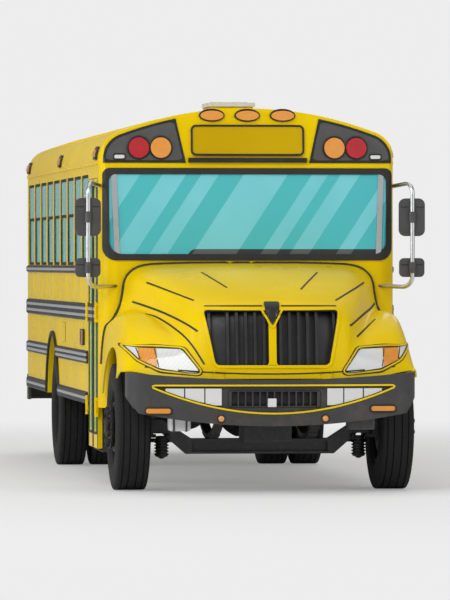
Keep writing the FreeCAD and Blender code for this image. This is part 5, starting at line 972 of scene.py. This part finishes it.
MIRROR_X, CLAMP_REACH = 1.335, 0.035
glass_panes, shell_lines = [], []
for z_low, z_high in ((1.95, 2.45), (1.60, 1.95)):
    head = (1, 72, (1.2, -5, z_low), (2, 5, z_high))
    outline = inset_hull("mirror_heads", (0, 2), 0.016, *head)
    glass_panes += both(plate(["mirror_heads"], outline, 0.003, 0.003, 5, 1, -1))
    edge = even(inset_hull("mirror_heads", (0, 2), 0.007, *head), 90, True)
    shell_lines += both(laid(["mirror_heads"], edge, 0.008, 0.005, True, 0.003, 0.002, 1, -1))
    x_low, x_high = outline[:, 0].min(), outline[:, 0].max()
    z = outline[:, 1].max() - 0.055 * (z_high - z_low) / 0.5
    for a, b in ((x_low - 0.006, MIRROR_X - CLAMP_REACH), (MIRROR_X + CLAMP_REACH, x_high + 0.006)):
        shell_lines += both(laid(["mirror_heads"], points_at(np.linspace(a, b, 8), z), 0.008, 0.003))
beads("mirror_panes", glass_panes, mirror_silver)
beads("mirror_shell_lines", shell_lines, seal_black)


# A dark sheet behind the grille's bars, bowed with the nose: painted shade standing for the dark inside of
# the grille

def nose_depth(x, z):
    """The nose's place along the bus between the opening's sides: y = middle + (side - middle) * (x / 0.57)
    ** 2."""
    middle, _ = first_hit(["hood"], 1, 1, points_at(0.0, z))
    side, _ = first_hit(["hood"], 1, 1, points_at(0.57, z))
    return middle[:, None, 1] + (side[:, None, 1] - middle[:, None, 1]) * (x / 0.57) ** 2


z = np.linspace(1.005, 1.462, 12)
reach = 0.445 + 0.1 * (z - 1.005) / 0.457
x = reach[:, None] * np.linspace(-1, 1, 25)[None]
y = nose_depth(x, z) + 0.058
front_face = points_at(x, y, z[:, None])
back_face = front_face + [0, 0.004, 0]
sheet = grid(np.concatenate([front_face, back_face[:, ::-1]], 1), closed_v=True, caps=True)
# The sheet stands in for the shade behind the bars.
piece("grille_shade_sheet", sheet, grille_black, "hood_body")


# Entrance leaves: rubber round the lights and on the meeting edges, and the black band across their bars with
# two silver stripes, painted highlights built as reflective strips

def leaf_dress(name, body, y_low, y_high, meeting):
    """A leaf's rubber and band, all on its outer face."""
    rubber = []
    for z_low, z_high in ((0.43, 1.345), (1.49, 2.468)):
        line = framed((y_low + 0.044, z_low - 0.008), (y_high - 0.044, z_high + 0.008), 0.045, 150)
        rubber.append(laid([name], line, 0.018, 0.007, True, 0.003, 0.003, 0))
    for y, width, lift in ((meeting, 0.022, 0.006), (y_low + y_high - meeting, 0.012, 0.004)):
        edge = points_at(y, np.linspace(0.305, 2.515, 40))
        rubber.append(laid([name], edge, width, lift, False, 0.003, 0.002, 0))
    beads(name + "_rubber", rubber, seal_black, body)
    y = np.linspace(y_low + 0.02, y_high - 0.02, 12)
    band = laid([name], points_at(y, 1.4175), 0.118, 0.004, False, 0.003, 0.001, 0)
    piece(name + "_band", band, rail_black, body)
    # The two silver stripes are painted highlights on the band, as on the rails.
    highlight_stripes = [laid([name], points_at(y, z), 0.026, 0.0055, False, 0.001, 0.0008, 0) for z in (1.388, 1.446)]
    beads(name + "_stripes", highlight_stripes, stripe_silver, body)


leaf_dress("door_front_leaf", "door_front", -2.864, -2.457, -2.469)
leaf_dress("door_rear_leaf", "door_rear", -2.443, -2.036, -2.431)


# Rims round the small lamps on the sides and the roof's shoulders

small_rims = []
for side in (-1, 1):
    way = -side
    wall = wheel_names(side) + "_wall"
    for share in (0.02, 0.5, 0.98):
        y = -2.87 + 7.44 * share
        outline = inset_hull("amber_lamps", (1, 2), -0.012, side, 60, (-2, y - 0.12, 2.55),
                             (2, y + 0.12, 3.0))
        shoulder = ["roof", "front_wall", "rear_wall", "left_wall", "right_wall"]
        small_rims.append(laid(shoulder, even(outline, 60, True), 0.024, 0.02, True, 0.012, 0.006, 0, way))
    edge = oblong((-1.5, 1.2), (0.262, 0.122), 0.012, 70)
    small_rims.append(laid([wall], edge, 0.014, 0.02, True, 0.003, 0.003, 0, way))
    line = points_at(-1.5, np.linspace(1.15, 1.25, 6))
    lamp_faces = [wall, "amber_lamps", "red_lamps"]
    small_rims.append(laid(lamp_faces, line, 0.012, 0.004, False, 0.003, 0.002, 0, way))
beads("side_lamp_rims", small_rims, bezel_black)

tail_rims = []
for z in (1.56, 1.33, 1.13):
    ring = circle(0.095, 56, middle=(1.01, z))
    tail_rims += both(laid(["rear_wall"], ring, 0.014, 0.018, True, 0.004, 0.004, 1, -1))
beads("tail_lamp_rims", tail_rims, bezel_black)


# Rubber round the rear windows and the emergency door

line = framed((0.537, 1.802), (1.018, 2.428), 0.05, 130)
rubber = laid(["rear_wall"], line, 0.02, 0.008, True, 0.003, 0.003, 1, -1)
beads("rear_window_rubber", both(rubber), seal_black)
door_rubber = []
for z_low, z_high in ((1.282, 1.688), (1.822, 2.392)):
    line = framed((-0.362, z_low), (0.362, z_high), 0.045, 130)
    door_rubber.append(laid(["rear_door"], line, 0.018, 0.008, True, 0.003, 0.003, 1, -1))
line = framed((-0.432, 1.118), (0.432, 2.462), 0.02, 180)
door_rubber.append(laid(["rear_door"], line, 0.016, 0.005, True, 0.003, 0.002, 1, -1))
beads("rear_door_rubber", door_rubber, seal_black, "rear_door")


# Stop arm: a pale border and two small lamps on its face, with no lettering

face = farthest("stop_arm", 0, 1)
edge = inset_hull("stop_arm", (1, 2), 0.022, None, 160, (1.27, -3, 1), (2, 3, 3))
border = laid(["stop_arm"], even(edge, 160, True), 0.014, 0.0015, True, 0.002, 0.0008, 0, -1)
piece("stop_arm_border", border, hatch_white, "stop_arm")
middle = edge.mean(0)
dome = [(-0.002, 0.046), (0.008, 0.046), (0.018, 0.04), (0.026, 0.026), (0.030, 0.006)]
lamps = [turned(dome, (face, middle[0], middle[1] + z), (1, 0, 0), 28) for z in (0.15, -0.15)]
beads("stop_arm_lamps", lamps, red_lens, "stop_arm")


# Roof hatch: a raised panel on the lid

lid = plate(["roof_hatch"], framed((-0.14, -1.85), (0.14, -1.49), 0.03, 70), 0.006, 0.003, 4, 2, -1)
piece("hatch_panel", lid, hatch_white, "roof_hatch")


# Seats: steel legs and rails, cushions and backs swelled by air in their covers, and piping on their seams

PAD_VOXEL, PAD_SWELL, PAD_STEPS = 0.025, 0.010, 20
LEAN, LEAN_Z, BACK_Z = 0.09 / 0.60, 1.50, 1.80
BENCH_X, BENCH_Z, BENCH_START = 0.686, 1.482, -1.968
LEG_X, LEG_STEPS, RAIL_Z, WALL_RAIL_X = 0.28, (0.07, 0.36), 1.432, 1.172
DRIVER_X, DRIVER_Y, DRIVER_Z = 0.62, -2.14, 1.485


def puffed(part):
    """A closed form, remeshed evenly and swelled by cloth under inner pressure, each point's shift held:
    place = start + shift * min(1, PAD_SWELL / |shift|)."""
    item = placed("pad_form", mesh_of("pad_form", part))
    even_out = item.modifiers.new("even_out", "REMESH")
    even_out.mode, even_out.voxel_size = "VOXEL", PAD_VOXEL
    graph = bpy.context.evaluated_depsgraph_get()
    form = bpy.data.meshes.new_from_object(item.evaluated_get(graph))
    item.modifiers.clear()
    item.data = form
    start = points_of(form).astype(float)
    corners = np.zeros(len(form.loops), np.int32)
    form.loops.foreach_get("vertex_index", corners)
    place = start
    air = item.modifiers.new("air", "CLOTH")
    air.settings.use_pressure, air.settings.uniform_pressure_force = True, 4.0
    air.settings.effector_weights.gravity = 0.0
    air.settings.quality = 5
    for step in range(1, PAD_STEPS + 1):
        bpy.context.scene.frame_set(step)
    graph = bpy.context.evaluated_depsgraph_get()
    shift = points_of(item.evaluated_get(graph).to_mesh()).astype(float) - start
    length = np.maximum(np.linalg.norm(shift, axis=1, keepdims=True), 1e-9)
    place = start + shift * np.minimum(1.0, PAD_SWELL / length)
    bpy.context.scene.frame_set(1)
    bpy.data.objects.remove(item)
    return place, corners.reshape(-1, 4), np.zeros((0, 3), int)


def crowned(width, depth, height, crown):
    """A cushion form about its middle: an oblong whose top rises by crown * (1 - u^2)(1 - v^2) and whose
    corners round."""
    a, b = np.meshgrid(np.linspace(-1, 1, 25), np.linspace(-1, 1, 13), indexing="ij")
    edge = height / 2 * ((1 - abs(a) ** 12) * (1 - abs(b) ** 8)) ** 0.3
    x, y = a * width / 2, b * depth / 2
    upper = points_at(x, y, edge + crown * (1 - a**2) * (1 - b**2))
    lower = points_at(x, y, -edge - 0.001)
    return grid(np.concatenate([upper, lower[:, ::-1]], 1), closed_v=True, caps=True)


def leaned(part, shift):
    """A form moved, then leaned back from the seat's height: y = y + LEAN * (z - LEAN_Z)."""
    v, quads, tris = moved(part, shift)
    return v + points_at(0.0, LEAN * (v[:, 2] - LEAN_Z), 0.0), quads, tris


def stood(part):
    """A form turned up on its edge, so that its top faces forwards."""
    x, y, z = part[0].T
    return points_at(x, -z, y), part[1], part[2]


bench_pad = puffed(crowned(0.91, 0.40, 0.085, 0.016))
bench_back = puffed(stood(crowned(0.91, 0.58, 0.075, 0.012)))
chair_pad = puffed(crowned(0.49, 0.42, 0.095, 0.016))
chair_back = puffed(stood(crowned(0.49, 0.58, 0.085, 0.012)))


def cushion(name, part):
    """One padded piece in seat vinyl, made finer by one subdivision, in the place of the plain seats."""
    made = piece(name, part, vinyl, angle=60)
    finer = made.modifiers.new("finer", "SUBSURF")
    finer.levels = finer.render_levels = 1
    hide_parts("seats")


def piping(width, depth, lift):
    """A welt round the edge of a cushion: an oblong line with rounded corners, 10 mm thick."""
    return tube(points_at(*rounded(width, depth, 0.05, 6).T, lift), 0.005, 6, 0, True)


welts, steel = [], []


def seat(kind, end, pad, back, place, reach, welt_size, rise, lift):
    """A cushion with a back at some reach behind its middle, each with a welt round its edge."""
    x, y, z = place
    behind = (x, y + reach, BACK_Z)
    cushion(kind + "_cushion" + end, moved(pad, place))
    cushion(kind + "_back" + end, leaned(back, behind))
    welts.append(moved(piping(*welt_size, 0.0), (x, y, z + rise)))
    welts.append(leaned(stood(piping(welt_size[0], 0.55, lift)), behind))


for i in range(WINDOW_COUNT):
    y = BENCH_START + i * WINDOW_PITCH
    for side in (-1, 1):
        end = "_%s_%d" % (wheel_names(side), i + 1)
        place = (side * BENCH_X, y + 0.21, BENCH_Z)
        seat("bench", end, bench_pad, bench_back, place, 0.235, (0.88, 0.37), 0.033, 0.034)
        for step in LEG_STEPS:
            leg = [(side * LEG_X, y + step, 1.102), (side * LEG_X, y + step, 1.43)]
            steel.append(tube(leg, 0.014, 10, hint=(1, 0, 0)))
        steel.append(tube([(side * LEG_X, y + 0.05, 1.108), (side * LEG_X, y + 0.38, 1.108)], 0.016, 8))
        for step in LEG_STEPS:
            rail = [(side * 0.24, y + step, RAIL_Z), (side * WALL_RAIL_X, y + step, RAIL_Z)]
            steel.append(tube(rail, 0.014, 10))
seat("driver", "", chair_pad, chair_back, (DRIVER_X, DRIVER_Y, DRIVER_Z), 0.24, (0.46, 0.39), 0.035, 0.04)
pedestal = [(0, 0.15), (0.02, 0.14), (0.03, 0.06), (0.31, 0.05), (0.33, 0.12), (0.335, 0.13)]
steel.append(turned(pedestal, (DRIVER_X, DRIVER_Y, 1.102), (0, 0, 1), 28))
beads("seat_piping", welts, seal_black)
seat_steel = beads("seat_steelwork", steel, chassis_black)
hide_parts("seats")


# The hood's back edge

def section(name, y, middle_z, count):
    """The outer line of a node where a plane across the bus cuts it: each triangle's two crossings are
    joined by nine points, and the furthest point in each of even turns is kept."""
    first = triangles([name])
    second = np.roll(first, -1, 1)
    cut = (first[..., 1] - y) * (second[..., 1] - y) < 0
    whole = cut.sum(1) == 2
    first, second, cut = first[whole], second[whole], cut[whole]
    share = (y - first[..., 1]) / np.where(cut, second[..., 1] - first[..., 1], 1.0)
    ends = (first + share[..., None] * (second - first))[cut].reshape(-1, 2, 3)
    steps = np.linspace(0, 1, 9)[:, None, None]
    found = (ends[:, 0] + steps * (ends[:, 1] - ends[:, 0])).reshape(-1, 3)
    turn = np.arctan2(found[:, 2] - middle_z, found[:, 0])
    reach = np.hypot(found[:, 2] - middle_z, found[:, 0])
    sector = np.floor(turn / math.pi * count)
    line = [found[sector == k][reach[sector == k].argmax()] for k in range(count) if (sector == k).any()]
    return np.array(line)


back_y = farthest("hood", 1, 1) - 0.012
edge = section("hood", back_y, 1.0, 60)
piece("hood_rear_seal", tube(edge, 0.015, 8, 160, hint=(0, 1, 0)), seal_black, "hood_body")


# Ribbed air chambers under the beam's ends, by the front wheels, and boxes behind the bumper's lower edge

profile = [(0.0, 0.03), (0.004, 0.058)]
for i in range(6):
    low = 0.012 + 0.024 * i
    profile += [(low, 0.046), (low + 0.006, 0.046), (low + 0.011, 0.058), (low + 0.019, 0.058)]
profile += [(0.158, 0.05), (0.165, 0.05), (0.172, 0.03), (0.184, 0.012)]
can = turned(profile, (0.80, FRONT_AXLE - 0.06, 0.437), (0, 0, -1), 32)
arm = block((0.735, FRONT_AXLE - 0.085, 0.405), (0.775, FRONT_AXLE - 0.02, 0.45), 0.006)
piece("air_chambers", joined([can, arm, mirrored(can), mirrored(arm)]), grille_black, angle=40)

tank = block((-0.815, -4.70, 0.497), (-0.645, -4.54, 0.695), 0.018)
piece("washer_tank", tank, tank_white, angle=40)
piece("dryer_box", block((0.61, -4.72, 0.505), (0.82, -4.54, 0.695), 0.014), chassis_black, angle=40)
straps = [block((-0.80, -4.66, 0.69), (-0.36, -4.58, 0.716), 0.004),
          block((0.36, -4.66, 0.69), (0.80, -4.58, 0.716), 0.004)]
for x in (-0.78, -0.68):
    straps.append(block((x - 0.008, -4.703, 0.493), (x + 0.008, -4.537, 0.70), 0.003))
piece("tank_straps", joined(straps), chassis_black, angle=40)


# The driver's place: a hooded panel with ringed dials, and a padded cap in the middle of the wheel

hood_form = block((0.36, -3.00, 1.87), (0.88, -2.79, 1.962), 0.03)
piece("gauge_hood", hood_form, dash_grain, angle=50)
rings, faces = [], []
for x, radius in ((0.43, 0.028), (0.535, 0.04), (0.705, 0.04), (0.81, 0.028)):
    ring = [(-0.006, radius), (0.006, radius + 0.001), (0.008, radius - 0.003), (0.004, radius - 0.006),
            (-0.006, radius - 0.006)]
    rings.append(turned(ring, (x, -2.79, 1.916), (0, 1, 0), 32, True))
    faces.append(turned([(-0.004, radius - 0.004), (0.002, radius - 0.005), (0.003, 0.004)],
                        (x, -2.79, 1.916), (0, 1, 0), 32))
piece("dial_rings", joined(rings), stripe_silver, angle=50)
piece("dial_faces", joined(faces), bezel_black, angle=50)
tilt = math.radians(35)
cap = [(-0.02, 0.05), (0.012, 0.055), (0.024, 0.045), (0.030, 0.02), (0.031, 0.004)]
piece("wheel_cap", turned(cap, (DRIVER_X, -2.5, 1.88), (0, math.cos(tilt), math.sin(tilt)), 32), bezel_black,
      angle=50)


# What shows with the hood up: a ribbed rocker cover, the air cleaner, a manifold and the radiator's fins

cover = [block((-0.19, -4.24, 1.36), (0.05, -3.42, 1.452), 0.03)]
for i in range(9):
    y = -4.16 + 0.084 * i
    cover.append(block((-0.17, y, 1.445), (0.03, y + 0.016, 1.462), 0.005))
cap = [(0.0, 0.034), (0.022, 0.036), (0.028, 0.028), (0.034, 0.012)]
cover.append(turned(cap, (-0.07, -3.47, 1.45), (0, 0, 1), 28))
piece("rocker_cover", joined(cover), recess_grey, angle=45)

cleaner = [(0.0, 0.06), (0.01, 0.10), (0.03, 0.11), (0.15, 0.11), (0.155, 0.117), (0.175, 0.117),
           (0.18, 0.11), (0.40, 0.11), (0.42, 0.09), (0.43, 0.05)]
pipe = tube([(0.205, -4.10, 1.37), (0.205, -4.12, 1.44), (0.205, -4.08, 1.49), (0.205, -3.98, 1.50)], 0.045,
            20, 30, hint=(1, 0, 0))
piece("air_cleaner", joined([turned(cleaner, (0.205, -4.00, 1.485), (0, 1, 0), 36), pipe]), bezel_black,
      angle=45)

runner = tube([(-0.40, -4.18, 1.22), (-0.40, -3.45, 1.22), (-0.40, -3.38, 1.16), (-0.36, -3.36, 1.06)], 0.036,
              18, 40)
stubs = [tube([(-0.325, y, 1.26), (-0.40, y, 1.225)], 0.026, 14) for y in (-4.13, -4.0, -3.87, -3.74, -3.61,
        -3.48)]
piece("exhaust_manifold", joined([runner] + stubs), rust_spring, angle=45)

fins = [block((x, -4.516, 0.985), (x + 0.005, -4.508, 1.37), 0.001) for x in np.arange(-0.42, 0.42, 0.0175)]
fins += [block((-0.43, -4.518, z), (0.43, -4.506, z + 0.028), 0.004) for z in (0.958, 1.37)]
piece("radiator_fins", joined(fins), stripe_silver, angle=45)


# Camera, floor and light

def studio():
    """A pale sheet under the bus. Near the bus it takes light and shadow; from 7 m to 16 m away from the
    middle it turns, for the camera alone, into the tone of the room behind."""
    made, tree, shader, place = finish("matt_studio_sheet", "#f4f4f4", 0.95, **{"Specular IOR Level": 0.1})
    away = node(tree, "ShaderNodeVectorMath", {0: place}, operation="LENGTH").outputs["Value"]
    glow = node(tree, "ShaderNodeEmission", {"Color": linear("#ededed"), "Strength": 1.0}).outputs[0]
    seen = node(tree, "ShaderNodeLightPath").outputs["Is Camera Ray"]
    far = maths(tree, "MULTIPLY", ramp(tree, away, 7.0, 16.0, 0.3, 1.0), seen)
    mix = node(tree, "ShaderNodeMixShader", {0: far, 1: shader.outputs["BSDF"], 2: glow})
    out = [one for one in tree.nodes if one.type == "OUTPUT_MATERIAL"][0]
    tree.links.new(mix.outputs[0], out.inputs["Surface"])
    sheet = bpy.data.meshes.new("studio_floor")
    sheet.from_pydata([(-300, -300, 0), (300, -300, 0), (300, 300, 0), (-300, 300, 0)], [], [(0, 1, 2, 3)])
    sheet.materials.append(made)
    ground = placed("studio_floor", sheet)


camera_place, camera_yaw, camera_pitch, focal = (-5.1756, -46.903, 1.8215), 6.491, -0.387, 322.2
eye = placed("camera", bpy.data.cameras.new("camera"))
eye.data.lens = focal
eye.data.sensor_width = 36.0
eye.data.clip_end = 2000.0
eye.location = camera_place
eye.rotation_euler = (math.radians(90 + camera_pitch), 0, math.radians(-camera_yaw))
bpy.context.scene.camera = eye

studio()
for name, place, aim, size, power in (
        ("key_lamp", (-12, -22, 15), (0, 0, 1.2), 14, 2500),
        ("fill_lamp", (16, -20, 9), (0, 0, 1.2), 16, 1100),
        ("side_lamp", (-22, -5, 6), (0, 0, 1.2), 12, 1500), ("back_lamp", (6, 22, 14), (0, 0, 1.2), 14, 1000),
        ("top_lamp", (0, 0, 16), (0, 0, 0), 18, 700)):
    lamp = bpy.data.lights.new(name, "AREA")
    lamp.energy, lamp.size = power, size
    item = placed(name, lamp)
    item.location = place
    way = np.subtract(aim, place)
    flat = math.hypot(way[0], way[1])
    item.rotation_euler = (math.atan2(flat, -way[2]), 0, math.atan2(way[1], way[0]) - math.pi / 2)

world = bpy.data.worlds.new("pale_room")
world.use_nodes = True
bpy.context.scene.world = world
tree = world.node_tree
tree.nodes.clear()
path = node(tree, "ShaderNodeLightPath")
seen = maths(tree, "MAXIMUM", path.outputs["Is Camera Ray"], path.outputs["Is Transmission Ray"])
strength = maths(tree, "MULTIPLY_ADD", seen, 0.62, 0.38)
tree.links.new(node(tree, "ShaderNodeBackground",
                    {"Color": linear("#ededed"), "Strength": strength}).outputs[0],
               node(tree, "ShaderNodeOutputWorld").inputs["Surface"])
bpy.context.scene.view_settings.view_transform = "Standard"
